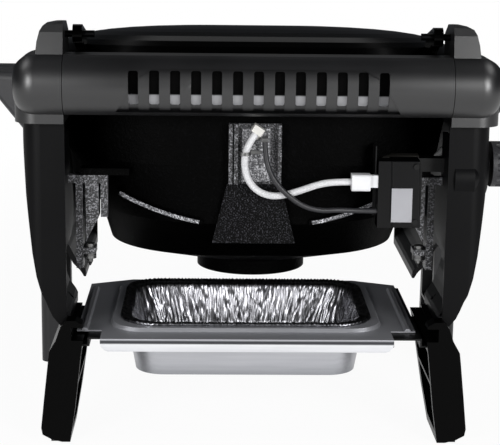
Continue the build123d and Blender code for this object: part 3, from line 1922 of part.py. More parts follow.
# Screws
with BuildPart() as leg_screws:
    for side in (-1, 1):
        for screw_y in (leg_screw_front, leg_screw_rear):
            outer_face = Plane((side * front_leg_out, 0, 0), x_dir=(0, 1, 0), z_dir=(side, 0, 0))
            rod(outer_face, (screw_y, side * leg_screw_z), screw_radius, leg_screw_in - front_leg_out)
            rod(outer_face, (screw_y, side * leg_screw_z), screw_head_radius, screw_head_height)
        for screw_y in (rear_screw_front, rear_screw_rear):
            low = frame_floor - leg_wall
            rod(
                Plane.XY.offset(low),
                (side * rear_screw_x, screw_y),
                screw_radius,
                rear_screw_length - leg_wall,
            )
            rod(
                Plane.XY.offset(low - screw_head_height),
                (side * rear_screw_x, screw_y),
                small_head_radius,
                screw_head_height,
            )
leg_screws.part.label = "leg_screws"

finished = [
    side_frame_right,
    side_frame_left,
    end_cap_right,
    end_cap_left,
    vent_panel,
    heat_shield,
    cookbox,
    drain_collar,
    grate_right,
    grate_left,
    lid,
    hinge_pin_right,
    hinge_pin_left,
    lid_handle,
    lid_handle_post_right,
    lid_handle_post_left,
    carry_handle_right,
    carry_handle_left,
    rear_leg_right,
    rear_leg_left,
    front_leg_right,
    front_leg_left,
    foot_pad_rear_right,
    foot_pad_rear_left,
    foot_pad_front_right,
    foot_pad_front_left,
    front_panel,
    gas_valve,
    control_shaft,
    control_knob,
    knob_bezel,
    gas_pipe,
    gas_inlet,
    burner_tube,
    burner_plug,
    burner_bracket,
    bracket_pad,
    deflector_plate,
    electrode,
    electrode_boot,
    ground_tab,
    ignition_module,
    module_side,
    module_bracket,
    module_label,
    connector_plug,
    module_screws,
    igniter_lead_white,
    igniter_lead_grey,
    lead_clip,
    cookbox_carrier_right,
    cookbox_carrier_left,
    cookbox_screws,
    tray_rail_right,
    tray_rail_left,
    drip_tray,
    foil_pan,
    leg_screws,
]
for piece in finished:
    export_step(piece.part, f"parts/{piece.part.label}.step")
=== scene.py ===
import math

import bpy
from mathutils import Matrix, Vector, noise


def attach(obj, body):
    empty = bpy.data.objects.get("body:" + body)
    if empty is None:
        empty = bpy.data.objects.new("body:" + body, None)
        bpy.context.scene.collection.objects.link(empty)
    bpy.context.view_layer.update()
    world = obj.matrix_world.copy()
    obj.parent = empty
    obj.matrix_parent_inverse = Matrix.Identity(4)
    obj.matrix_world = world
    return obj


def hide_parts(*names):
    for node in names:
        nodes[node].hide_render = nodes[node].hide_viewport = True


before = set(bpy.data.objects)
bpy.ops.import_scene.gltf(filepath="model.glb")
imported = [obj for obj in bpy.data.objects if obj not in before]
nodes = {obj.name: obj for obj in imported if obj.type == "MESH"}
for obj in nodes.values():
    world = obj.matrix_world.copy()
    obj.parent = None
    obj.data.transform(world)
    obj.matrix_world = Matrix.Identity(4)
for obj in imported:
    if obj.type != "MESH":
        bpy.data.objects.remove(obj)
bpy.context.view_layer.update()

# The view: the grill's rear, a little from above and from the cook's right.
# A long lens stands about 1.4 m behind the grill and 46 cm above the ground.
scene = bpy.context.scene
scene.view_settings.view_transform = "Standard"

view_pitch = math.radians(12.16)
view_yaw = math.radians(1.53)
view_roll = math.radians(0.71)
view_place_m = (0.0390, 1.4387, 0.4643)
aim = Vector(
    (
        -math.sin(view_yaw) * math.cos(view_pitch),
        -math.cos(view_yaw) * math.cos(view_pitch),
        -math.sin(view_pitch),
    )
)
level_right = aim.cross(Vector((0, 0, 1))).normalized()
level_up = level_right.cross(aim)
view_right = math.cos(view_roll) * level_right + math.sin(view_roll) * level_up
view_up = math.cos(view_roll) * level_up - math.sin(view_roll) * level_right

lens = bpy.data.cameras.new("rear_view")
lens.lens = 108.0
lens.sensor_width = 36.0
lens.sensor_fit = "HORIZONTAL"
lens.clip_start = 0.05
rear_view = bpy.data.objects.new("rear_view", lens)
scene.collection.objects.link(rear_view)
turned = Matrix((view_right, view_up, -aim)).transposed().to_4x4()
rear_view.matrix_world = Matrix.Translation(Vector(view_place_m)) @ turned
scene.camera = rear_view

# Moulded body: side frames, end caps, vented panel and front panel.
# Glass-filled nylon from steel moulds with a fine spark-eroded grain, so it
# is nearly black, goes soft grey where a lamp grazes it, and mirrors nothing sharply.


def tone(hex_value):
    """An sRGB hex colour as linear light, with full cover."""
    parts = [int(hex_value[i : i + 2], 16) / 255 for i in (1, 3, 5)]
    linear = [p / 12.92 if p <= 0.04045 else ((p + 0.055) / 1.055) ** 2.4 for p in parts]
    return tuple(linear) + (1.0,)


def add_node(material, kind, settings=None, **links):
    """One shader node with its settings, fed by links named for sockets, or i and their number."""
    made = material.node_tree.nodes.new(kind)
    for name, value in (settings or {}).items():
        if hasattr(made, name):
            setattr(made, name, value)
        else:
            made.inputs[name].default_value = value
    for name, source in links.items():
        numbered = name[0] == "i" and name[1:].isdigit()
        socket = int(name[1:]) if numbered else name.replace("_", " ")
        material.node_tree.links.new(source, made.inputs[socket])
    return made


def new_finish(name, settings):
    """A material with its surface shader set to the given values, and its place coordinates."""
    material = bpy.data.materials.new(name)
    material.use_nodes = True
    shader = material.node_tree.nodes["Principled BSDF"]
    for key, value in settings.items():
        shader.inputs[key].default_value = value
    place = add_node(material, "ShaderNodeTexCoord")
    return material, shader, place.outputs["Object"]


def per_metre(size_mm):
    """A noise scale whose features are about this wide."""
    return 1000.0 / size_mm


def moulded(name, dark, light, roughness, grain_mm, grain_depth, mirror=0.5):
    """Moulded nylon: spark grain in the bump, slow mottling of tone and of gloss."""
    mottle_mm = 60
    material, shader, place = new_finish(name, {"IOR": 1.5, "Specular IOR Level": mirror})
    links = material.node_tree.links
    cloud = add_node(
        material,
        "ShaderNodeTexNoise",
        {"Scale": per_metre(mottle_mm), "Detail": 4.0},
        Vector=place,
    )
    tint = add_node(material, "ShaderNodeValToRGB", Fac=cloud.outputs["Fac"])
    tint.color_ramp.elements[0].position = 0.35
    tint.color_ramp.elements[0].color = tone(dark)
    tint.color_ramp.elements[1].position = 0.7
    tint.color_ramp.elements[1].color = tone(light)
    links.new(tint.outputs["Color"], shader.inputs["Base Color"])
    gloss = add_node(
        material,
        "ShaderNodeMapRange",
        {"To Min": roughness - 0.05, "To Max": roughness + 0.07},
        Value=cloud.outputs["Fac"],
    )
    links.new(gloss.outputs["Result"], shader.inputs["Roughness"])
    grain = add_node(
        material, "ShaderNodeTexNoise", {"Scale": per_metre(grain_mm), "Detail": 2.0}, Vector=place
    )
    bump = add_node(
        material,
        "ShaderNodeBump",
        {"Strength": 0.5, "Distance": grain_depth},
        Height=grain.outputs["Fac"],
    )
    links.new(bump.outputs["Normal"], shader.inputs["Normal"])
    return material


def dress(names, material):
    """Give CAD nodes their finish through their own material slots."""
    for name in names:
        piece = nodes[name]
        for slot in piece.material_slots:
            slot.material = material


# spark grain is about 0.3 mm wide, drawn at 0.8 mm so that it shows, and this face
# is polished enough to give the shoulders and the vents a soft highlight
shell_nylon = moulded(
    "glass_filled_nylon",
    dark="#060607",
    light="#0b0b0d",
    roughness=0.36,
    grain_mm=0.8,
    grain_depth=0.00006,
    mirror=0.9,
)
dress(["end_cap_right", "end_cap_left", "vent_panel"], shell_nylon)
# the frames and the front panel have a drier texture, so they mirror less
frame_nylon = moulded(
    "dry_textured_nylon",
    dark="#020203",
    light="#040405",
    roughness=0.44,
    grain_mm=0.8,
    grain_depth=0.00008,
    mirror=0.12,
)
dress(["side_frame_right", "side_frame_left", "front_panel"], frame_nylon)

# Legs, carry handles and lid handle: nylon mouldings fixed to the frames and the
# lid. The rear legs are smooth and satin, open on the inside with moulded ribs.
# The front legs and handles are grained for the hand, so they stay a dull dark grey.
leg_nylon = moulded(
    "satin_leg_nylon",
    dark="#010101",
    light="#010101",
    roughness=0.32,
    grain_mm=1.2,
    grain_depth=0.00003,
    mirror=0.06,
)
dress(["rear_leg_right", "rear_leg_left"], leg_nylon)
front_leg_nylon = moulded(
    "grained_leg_nylon",
    dark="#0f0f11",
    light="#151518",
    roughness=0.45,
    grain_mm=0.8,
    grain_depth=0.0001,
)
dress(["front_leg_right", "front_leg_left"], front_leg_nylon)
handle_nylon = moulded(
    "grained_handle_nylon",
    dark="#1e1e21",
    light="#29292d",
    roughness=0.5,
    grain_mm=1.4,
    grain_depth=0.0003,
)
dress(["carry_handle_right", "carry_handle_left", "lid_handle"], handle_nylon)
dress(["lid_handle_post_right", "lid_handle_post_left"], leg_nylon)

# Foot pads: pressed rubber strips under the four legs. Rubber is matt and a little
# dusty, so they take no highlight.
pad_rubber = moulded(
    "pressed_rubber",
    dark="#0e0e0e",
    light="#1c1b1a",
    roughness=0.75,
    grain_mm=1.5,
    grain_depth=0.0001,
)
dress(
    ["foot_pad_rear_right", "foot_pad_rear_left", "foot_pad_front_right", "foot_pad_front_left"],
    pad_rubber,
)

# Cookbox, drain collar, carriers and burner bracket: sand-cast aluminium with a
# black heat paint. The pale specks on the grain are painted glints, standing in for the
# grain catching the light. They are few on the cookbox and many on the brackets.


def sand_cast(name, dark, light, speck, grain_mm, depth, roughness=0.5, mirror=0.5, glint_level=0.58):
    """Painted sand casting: coarse grain in the bump, with the tops of the grains painted paler as
    glints.
    """
    mottle_mm = 40
    material, shader, place = new_finish(
        name, {"IOR": 1.5, "Roughness": roughness, "Specular IOR Level": mirror}
    )
    links = material.node_tree.links
    cloud = add_node(
        material,
        "ShaderNodeTexNoise",
        {"Scale": per_metre(mottle_mm), "Detail": 3.0},
        Vector=place,
    )
    grain = add_node(
        material,
        "ShaderNodeTexNoise",
        {"Scale": per_metre(grain_mm), "Detail": 3.0, "Roughness": 0.65},
        Vector=place,
    )
    base = add_node(material, "ShaderNodeMix", {"data_type": "RGBA"})
    colour = add_node(material, "ShaderNodeValToRGB", Fac=cloud.outputs["Fac"])
    colour.color_ramp.elements[0].color = tone(dark)
    colour.color_ramp.elements[1].color = tone(light)
    # grain tops above this level take the speck colour, a painted glint
    glint_mask = add_node(material, "ShaderNodeValToRGB", Fac=grain.outputs["Fac"])
    glint_mask.color_ramp.elements[0].position = glint_level
    glint_mask.color_ramp.elements[0].color = (0, 0, 0, 1)
    glint_mask.color_ramp.elements[1].position = glint_level + 0.1
    glint_mask.color_ramp.elements[1].color = (1, 1, 1, 1)
    links.new(colour.outputs["Color"], base.inputs[6])
    base.inputs[7].default_value = tone(speck)
    links.new(glint_mask.outputs["Color"], base.inputs[0])
    links.new(base.outputs[2], shader.inputs["Base Color"])
    bump = add_node(
        material,
        "ShaderNodeBump",
        {"Strength": 0.9, "Distance": depth},
        Height=grain.outputs["Fac"],
    )
    links.new(bump.outputs["Normal"], shader.inputs["Normal"])
    return material


# sand grain of 0.5 mm, drawn at 2.2 mm here and at 1.3 mm below so that it shows
cast_paint = sand_cast(
    "painted_sand_cast_aluminium",
    dark="#000000",
    light="#010101",
    speck="#060607",
    grain_mm=2.2,
    depth=0.0008,
    roughness=0.5,
    mirror=0.03,
)
dress(["cookbox", "drain_collar"], cast_paint)
# the brackets carry the cookbox's paint as a paler copy with painted light: a lighter tone and
# bright painted glints
bracket_cast_painted_light = sand_cast(
    "speckled_cast_painted_light",
    dark="#0c0c0e",
    light="#18181a",
    speck="#808084",
    grain_mm=1.3,
    depth=0.0004,
    roughness=0.42,
    mirror=0.5,
    glint_level=0.5,
)
dress(["cookbox_carrier_right", "cookbox_carrier_left", "burner_bracket"], bracket_cast_painted_light)

# Two curved ribs low on the cookbox's rear wall: thin pale strips laid along their
# faces are a painted highlight, so they shine as speckled lines on the black paint.
# pale tone and bright specks: a painted highlight on each rib
rib_painted_highlight = sand_cast(
    "cast_rib_painted_highlight",
    dark="#242426",
    light="#58585c",
    speck="#d8d8dc",
    grain_mm=1.3,
    depth=0.0004,
    roughness=0.42,
    mirror=0.5,
    glint_level=0.5,
)
# the arc runs along the middle of the solids' ribs, 318 mm outside and 4.5 mm wide
rib_radius_m = 0.31575
rib_centre_z_m = 0.502
rib_half_width_m = 0.0016
rib_near_m, rib_far_m = 0.049, 0.1195
rib_proud_m = 0.0004
rib_thickness_m = 0.0008
rib_steps = 50
rib_columns = 3
behind_grill_m = 0.3
cookbox_wall_m = 0.15
cookbox = nodes["cookbox"]
to_cookbox = cookbox.matrix_world.inverted()
for side, rib_name in ((1, "painted_highlight_rib_right"), (-1, "painted_highlight_rib_left")):
    rib_points = []
    for step in range(rib_steps + 1):
        across = rib_near_m + (rib_far_m - rib_near_m) * step / rib_steps
        turn = math.asin(across / rib_radius_m)
        for offset in (-rib_half_width_m, 0.0, rib_half_width_m):
            x = side * (rib_radius_m + offset) * math.sin(turn)
            z = rib_centre_z_m - (rib_radius_m + offset) * math.cos(turn)
            found, hit, _, _ = cookbox.ray_cast(
                to_cookbox @ Vector((x, behind_grill_m, z)),
                to_cookbox.to_3x3() @ Vector((0, -1, 0)),
            )
            y = (cookbox.matrix_world @ hit).y if found else cookbox_wall_m
            rib_points.append((x, y + rib_proud_m, z))
    rib_faces = []
    for step in range(rib_steps):
        for column in range(rib_columns - 1):
            corner = step * rib_columns + column
            quad = (corner, corner + 1, corner + 1 + rib_columns, corner + rib_columns)
            rib_faces.append(quad if side > 0 else quad[::-1])
    rib_mesh = bpy.data.meshes.new(rib_name)
    rib_mesh.from_pydata(rib_points, [], rib_faces)
    rib_mesh.materials.append(rib_painted_highlight)
    rib = bpy.data.objects.new(rib_name, rib_mesh)
    scene.collection.objects.link(rib)
    rib_body = rib.modifiers.new("rib_body", "SOLIDIFY")
    rib_body.thickness = rib_thickness_m
    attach(rib, "body")

# Pad on the burner bracket, behind the leads: the same casting as a much paler copy,
# painted light, so its grain shows bright as if lit.
pad_painted_light = sand_cast(
    "cast_pad_painted_light",
    dark="#3c3c3e",
    light="#58585b",
    speck="#b9b9bc",
    grain_mm=1.4,
    depth=0.0003,
    roughness=0.5,
    mirror=0.5,
    glint_level=0.5,
)
dress(["bracket_pad"], pad_painted_light)

# Lid: one metal shell on two hinge pins, with black porcelain enamel fired on.
# Fired glass is smooth and deep, so it mirrors the lamps softly and little.


def glazed(name, colour, roughness, coat, ripple_mm, ripple_depth, mirror=0.5):
    """Fired enamel or gloss moulding: deep colour with the faint ripple of its melt."""
    material, shader, place = new_finish(
        name,
        {
            "Base Color": tone(colour),
            "Roughness": roughness,
            "IOR": 1.52,
            "Specular IOR Level": mirror,
            "Coat Weight": coat,
            "Coat Roughness": 0.06,
        },
    )
    ripple = add_node(
        material, "ShaderNodeTexNoise", {"Scale": per_metre(ripple_mm), "Detail": 2.0}, Vector=place
    )
    bump = add_node(
        material,
        "ShaderNodeBump",
        {"Strength": 0.3, "Distance": ripple_depth},
        Height=ripple.outputs["Fac"],
    )
    material.node_tree.links.new(bump.outputs["Normal"], shader.inputs["Normal"])
    return material


lid_enamel = glazed(
    "black_porcelain_enamel",
    colour="#010101",
    roughness=0.2,
    coat=0.0,
    ripple_mm=9.0,
    ripple_depth=0.00003,
    mirror=0.05,
)
dress(["lid"], lid_enamel)

# Metal fittings: zinc-plated screws, lead clip and ground tab, black oxide pins and
# shaft, the cast valve, the stainless burner tube and the turned brass inlet. Rolling,
# drawing and turning leave fine streaks, which draw the highlights out.


def rolled(name, dark, light, roughness, streak_mm, streak_axis):
    """Sheet or drawn metal: fine streaks along the rolling direction, mottled gloss."""
    streak_length = 25.0
    material, shader, place = new_finish(name, {"Metallic": 1.0})
    links = material.node_tree.links
    stretch = [1.0, 1.0, 1.0]
    stretch[streak_axis] = 1.0 / streak_length
    drawn_out = add_node(material, "ShaderNodeMapping", {"Scale": stretch}, Vector=place)
    streak = add_node(
        material,
        "ShaderNodeTexNoise",
        {"Scale": per_metre(streak_mm), "Detail": 3.0},
        Vector=drawn_out.outputs["Vector"],
    )
    tint = add_node(material, "ShaderNodeValToRGB", Fac=streak.outputs["Fac"])
    tint.color_ramp.elements[0].position = 0.3
    tint.color_ramp.elements[0].color = tone(dark)
    tint.color_ramp.elements[1].position = 0.7
    tint.color_ramp.elements[1].color = tone(light)
    links.new(tint.outputs["Color"], shader.inputs["Base Color"])
    gloss = add_node(
        material,
        "ShaderNodeMapRange",
        {"To Min": roughness - 0.06, "To Max": roughness + 0.06},
        Value=streak.outputs["Fac"],
    )
    links.new(gloss.outputs["Result"], shader.inputs["Roughness"])
    bump = add_node(
        material,
        "ShaderNodeBump",
        {"Strength": 0.2, "Distance": 0.00003},
        Height=streak.outputs["Fac"],
    )
    links.new(bump.outputs["Normal"], shader.inputs["Normal"])
    return material


zinc = rolled(
    "zinc_plated_steel",
    dark="#5c5c5c",
    light="#8c8c8b",
    roughness=0.36,
    streak_mm=2.0,
    streak_axis=0,
)
dress(["cookbox_screws", "leg_screws", "lead_clip", "ground_tab"], zinc)
black_oxide = rolled(
    "black_oxide_steel",
    dark="#0b0b0c",
    light="#161617",
    roughness=0.4,
    streak_mm=2.0,
    streak_axis=0,
)
dress(["hinge_pin_right", "hinge_pin_left", "control_shaft"], black_oxide)
dull_casting = rolled(
    "dull_zinc_casting",
    dark="#161617",
    light="#242425",
    roughness=0.5,
    streak_mm=2.0,
    streak_axis=0,
)
# the pipe is dressed like the valve that it runs to
dress(["gas_valve", "gas_pipe"], dull_casting)
tube_steel = rolled(
    "ferritic_stainless_steel",
    dark="#8f8c86",
    light="#b5b1a8",
    roughness=0.34,
    streak_mm=1.5,
    streak_axis=0,
)
dress(["burner_tube", "burner_plug"], tube_steel)
brass = rolled(
    "turned_brass",
    dark="#a98543",
    light="#cfab62",
    roughness=0.3,
    streak_mm=0.8,
    streak_axis=0,
)
dress(["gas_inlet"], brass)

# Deflector plate: steel sheet hanging from the burner bracket, with the same rough
# heat paint as the castings. Its fleck is about 0.5 mm wide, drawn at 1.3 mm so that
# it shows, with painted glints as pale dots on charcoal.
fleck_paint = sand_cast(
    "flecked_heat_paint",
    dark="#010102",
    light="#030303",
    speck="#38383c",
    grain_mm=1.3,
    depth=0.0002,
    roughness=0.55,
    mirror=0.08,
    glint_level=0.54,
)
dress(["deflector_plate"], fleck_paint)

# Tray rails and the module's folded bracket: thin steel, powder coated black,
# which leaves a slight orange peel.
rail_paint = moulded(
    "black_powder_coat",
    dark="#030303",
    light="#060607",
    roughness=0.45,
    grain_mm=1.0,
    grain_depth=0.00005,
    mirror=0.25,
)
dress(["tray_rail_right", "tray_rail_left", "module_bracket", "module_screws"], rail_paint)

# Heat shield behind the vents: plain sheet, black above, with a painted highlight along
# its lower edge, a pale band where it shines through the feet of the slots as if lit.
shield_sheet, shield_shader, shield_place = new_finish(
    "sheet_with_painted_highlight", {"Roughness": 0.55, "Specular IOR Level": 0.06}
)
shield_height = add_node(shield_sheet, "ShaderNodeSeparateXYZ", Vector=shield_place)
highlight_edge_m = 0.3022
highlight_feather_m = 0.0006
shield_highlight_mask = add_node(
    shield_sheet,
    "ShaderNodeMapRange",
    {"From Min": highlight_edge_m - highlight_feather_m, "From Max": highlight_edge_m + highlight_feather_m},
    Value=shield_height.outputs["Z"],
)
shield_painted_highlight = add_node(shield_sheet, "ShaderNodeValToRGB", Fac=shield_highlight_mask.outputs["Result"])
# pale below the edge as a painted highlight, black above
shield_painted_highlight.color_ramp.elements[0].color = tone("#bababd")
shield_painted_highlight.color_ramp.elements[1].color = tone("#020202")
shield_sheet.node_tree.links.new(shield_painted_highlight.outputs["Color"], shield_shader.inputs["Base Color"])
dress(["heat_shield"], shield_sheet)

# Grates: two cast iron grids in matt black enamel, resting on the cookbox's ledge.
# Enamel rounds the cast grain off. It is about 1 mm wide, drawn at 3 mm so that it shows.
grate_iron = sand_cast(
    "enamelled_cast_iron",
    dark="#050505",
    light="#0a0a0a",
    speck="#1a1a1a",
    grain_mm=3.0,
    depth=0.0003,
)
dress(["grate_right", "grate_left"], grate_iron)

# Ignition module: a glossy black case in two halves on the folded bracket, with a
# blank silver label, a plug of natural nylon, and the electrode with its boot.
# The case mirrors faintly, the plug and the fired ceramic are off white.
case_gloss = glazed(
    "gloss_abs_case",
    colour="#020203",
    roughness=0.3,
    coat=0.05,
    ripple_mm=4.0,
    ripple_depth=0.00004,
    mirror=0.2,
)
dress(["ignition_module", "module_side"], case_gloss)
label_film = moulded(
    "silver_polyester_label",
    dark="#8e8e92",
    light="#9c9ca0",
    roughness=0.4,
    grain_mm=2.0,
    grain_depth=0.00002,
)
dress(["module_label"], label_film)
plug_nylon = moulded(
    "natural_nylon_plug",
    dark="#c4c4c6",
    light="#dcdcdd",
    roughness=0.45,
    grain_mm=1.5,
    grain_depth=0.00004,
)
dress(["connector_plug"], plug_nylon)
ceramic = moulded(
    "glazed_ceramic",
    dark="#c9c7c2",
    light="#e2e0da",
    roughness=0.3,
    grain_mm=2.0,
    grain_depth=0.00003,
)
dress(["electrode", "electrode_boot"], ceramic)

# Control knob and bezel: the knob is pushed onto its shaft and grained like the
# handles, and the bezel ring behind it is satin like the rear legs.
dress(["control_knob"], handle_nylon)
dress(["knob_bezel"], leg_nylon)

# Leads: a braided white glass sleeve over the spark wire, and a thinner grey
# silicone ground wire. Both hang from the burner bracket to the module, in one bow.


def lead_curve(name, route_mm, radius_mm, material):
    """A lead as one smooth spline through the run between its two ends."""
    line = bpy.data.curves.new(name, "CURVE")
    line.dimensions = "3D"
    line.bevel_depth = radius_mm / 1000
    line.bevel_resolution = 6
    line.resolution_u = 10
    run = line.splines.new("NURBS")
    run.points.add(len(route_mm) - 1)
    for point, place in zip(run.points, route_mm):
        point.co = (place[0] / 1000, place[1] / 1000, place[2] / 1000, 1.0)
    run.order_u = 3
    run.use_endpoint_u = True
    line.materials.append(material)
    piece = bpy.data.objects.new(name, line)
    scene.collection.objects.link(piece)
    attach(piece, "body")
    return piece


def sleeve(name, dark, light, roughness, thread_mm):
    """Braided or extruded sleeve: crossed threads in the bump and the tone."""
    material, shader, place = new_finish(name, {"IOR": 1.45, "Roughness": roughness})
    links = material.node_tree.links
    braid = add_node(
        material,
        "ShaderNodeTexVoronoi",
        {"Scale": per_metre(thread_mm), "Randomness": 0.35},
        Vector=place,
    )
    tint = add_node(material, "ShaderNodeValToRGB", Fac=braid.outputs["Distance"])
    tint.color_ramp.elements[0].color = tone(light)
    tint.color_ramp.elements[1].color = tone(dark)
    links.new(tint.outputs["Color"], shader.inputs["Base Color"])
    bump = add_node(
        material,
        "ShaderNodeBump",
        {"Strength": 0.5, "Distance": 0.0002},
        Height=braid.outputs["Distance"],
    )
    links.new(bump.outputs["Normal"], shader.inputs["Normal"])
    return material


white_sleeve = sleeve(
    "braided_glass_sleeve",
    dark="#a6a6a8",
    light="#e4e4e5",
    roughness=0.6,
    thread_mm=1.2,
)
grey_sleeve = sleeve(
    "grey_silicone_sleeve",
    dark="#1d1d1f",
    light="#2b2b2e",
    roughness=0.42,
    thread_mm=2.5,
)
white_route = [
    (1.3, 181.0, 270.5),
    (6.6, 181.0, 262.5),
    (10.4, 180.6, 252.6),
    (10.8, 180.2, 241.0),
    (7.2, 179.8, 228.8),
    (-1.4, 179.4, 219.6),
    (-13.2, 179.0, 215.6),
    (-26.6, 178.6, 217.4),
    (-39.8, 178.2, 221.6),
    (-53.2, 177.6, 226.4),
    (-67.6, 176.0, 228.3),
    (-81.3, 176.0, 228.3),
]
grey_route = [
    (-6.4, 182.0, 263.6),
    (-7.2, 182.0, 250.6),
    (-10.6, 183.9, 237.4),
    (-18.0, 184.8, 226.0),
    (-28.0, 185.2, 216.4),
    (-40.4, 184.7, 208.0),
    (-55.0, 183.0, 204.2),
    (-70.6, 180.2, 204.6),
    (-87.8, 176.0, 203.0),
    (-104.0, 176.0, 203.0),
]
white_radius_mm, grey_radius_mm = 3.0, 2.3
white_lead = lead_curve("white_lead", white_route, white_radius_mm, white_sleeve)
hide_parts("igniter_lead_white")
grey_lead = lead_curve("grey_lead", grey_route, grey_radius_mm, grey_sleeve)
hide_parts("igniter_lead_grey")

# Drip tray: pressed galvanised sheet with a deep pocket, sliding on the two rails.
# Fresh zinc is pale and streaked, part metal and part chalky bloom.
tray_steel = rolled(
    "galvanised_sheet",
    dark="#e4e5e8",
    light="#eeeff1",
    roughness=0.36,
    streak_mm=2.5,
    streak_axis=0,
)
dress(["drip_tray"], tray_steel)
# light and shade are painted by height: the pocket's wall is painted darker towards its
# floor, the lip's lower edge carries a painted highlight and the top of the lip a band of
# painted shade, so the tone changes with height
tray_place = add_node(tray_steel, "ShaderNodeTexCoord")
tray_height = add_node(tray_steel, "ShaderNodeSeparateXYZ", Vector=tray_place.outputs["Object"])
tray_low_m, tray_high_m = 0.048, 0.098
painted_light_by_height = add_node(
    tray_steel,
    "ShaderNodeMapRange",
    {"From Min": tray_low_m, "From Max": tray_high_m},
    Value=tray_height.outputs["Z"],
)
painted_light_tone = add_node(tray_steel, "ShaderNodeValToRGB", Fac=painted_light_by_height.outputs["Result"])
# heights in metres and tones: painted shade low in the pocket, a painted highlight at the lip's
# lower edge, painted shade on the lip's top, then the plate
painted_light_stops = [
    (0.0485, "#a2a3a6"),
    (0.0600, "#c9c9cc"),
    (0.0800, "#e0e0e2"),
    (0.0903, "#ffffff"),
    (0.0913, "#4c4d50"),
    (0.0932, "#46474a"),
    (0.0944, "#c4c4c7"),
]
ramp = painted_light_tone.color_ramp
# the ramp comes with two stops
for height_m, _ in painted_light_stops[2:]:
    ramp.elements.new((height_m - tray_low_m) / (tray_high_m - tray_low_m))
for stop, (height_m, hex_value) in zip(ramp.elements, painted_light_stops):
    stop.position = (height_m - tray_low_m) / (tray_high_m - tray_low_m)
    stop.color = tone(hex_value)
tray_tree = tray_steel.node_tree
tray_shader = tray_tree.nodes["Principled BSDF"]
tray_shader.inputs["Metallic"].default_value = 0.65
streaked_tone = tray_shader.inputs["Base Color"].links[0].from_socket
# the streaks are multiplied by the painted light and shade
streaks_and_painted_light = add_node(
    tray_steel,
    "ShaderNodeMix",
    {"data_type": "RGBA", "blend_type": "MULTIPLY"},
    i6=streaked_tone,
    i7=painted_light_tone.outputs["Color"],
)
streaks_and_painted_light.inputs[0].default_value = 1.0
tray_tree.links.new(streaks_and_painted_light.outputs[2], tray_shader.inputs["Base Color"])

# Foil pan: one blank of thin aluminium foil, pressed into the tray's pocket and
# rolled at its rim. The spare foil gathers into upright pleats round the walls, and
# each pleat mirrors the lamps its own way.
pan_middle = (7.0, 93.0)
pan_side_points = 150
pan_corner_points = 44
pan_profile = [
    # half length, half depth, corner, height, pleat depth, crimp depth (mm)
    (110.6, 78.9, 32.4, 98.0, 0.0, 0.3),
    (111.9, 80.2, 33.7, 98.3, 0.0, 0.8),
    (112.2, 80.5, 34.0, 99.4, 0.0, 1.0),
    (111.5, 79.8, 33.3, 100.5, 0.0, 1.2),
    (110.2, 78.5, 32.0, 100.9, 0.0, 1.2),
    (108.9, 77.2, 30.7, 100.3, 0.0, 1.2),
    (108.1, 76.4, 29.9, 99.3, 0.0, 1.1),
    (106.8, 74.2, 28.6, 98.9, 0.2, 1.1),
    (105.0, 71.6, 27.4, 99.0, 0.4, 1.1),
    (103.1, 69.0, 26.4, 98.8, 0.7, 0.9),
    (102.5, 67.3, 26.0, 97.4, 0.9, 0.5),
    (101.7, 66.5, 26.0, 94.0, 0.8, 0.1),
    (100.8, 65.6, 26.0, 90.5, 0.9, 0.0),
    (99.8, 64.6, 26.0, 86.6, 1.0, 0.0),
    (98.7, 63.5, 26.0, 82.5, 1.1, 0.0),
    (97.6, 62.4, 26.0, 78.0, 1.2, 0.0),
    (96.5, 61.3, 26.0, 73.4, 1.3, 0.0),
    (95.4, 60.2, 26.0, 68.8, 1.3, 0.0),
    (94.4, 59.2, 26.0, 64.6, 1.2, 0.0),
    (93.5, 58.3, 26.0, 61.2, 0.9, 0.0),
    (91.9, 56.7, 25.0, 59.3, 0.5, 0.0),
    (89.5, 54.3, 23.5, 58.5, 0.2, 0.0),
    (82.2, 47.5, 20.0, 58.6, 0.0, 0.0),
    (66.2, 35.0, 15.0, 58.8, 0.0, 0.0),
    (46.2, 20.0, 9.0, 58.6, 0.0, 0.0),
    (22.2, 7.0, 3.0, 58.7, 0.0, 0.0),
]
# row of the profile where the wall starts, along which the pleats are counted
wall_row = 10
pleat_mm = 5.6
crimp_mm = 3.1
# pleats wander sideways by up to a turn or so, over these lengths along and down
drift_along_mm, drift_down_mm, drift_turns = 9.0, 16.0, 2.4
pleat_drift_share, crimp_drift_turns = 0.5, 2.0
# a pleat stands out by these shares of its depth, less where it starts from
fold_share, fold_start_share, crease_share = 1.5, 0.35, 0.9
# fine creases on the pleats, cut through the noise at one level
crease_along_mm, crease_down_mm, crease_level = 2.2, 7.0, 4.0
# dents are full on the floor, weaker on the wall, and follow the creases on the rim
dent_width_mm, dent_depth_mm, rim_dent_mm, wall_dent_share = 11.0, 0.5, 0.25, 0.3
rim_height_mm = 98.0
floor_height_mm = 60.0
crimp_share, crimp_low_mm = 0.6, -0.3
foil_gauge_m = 0.00012


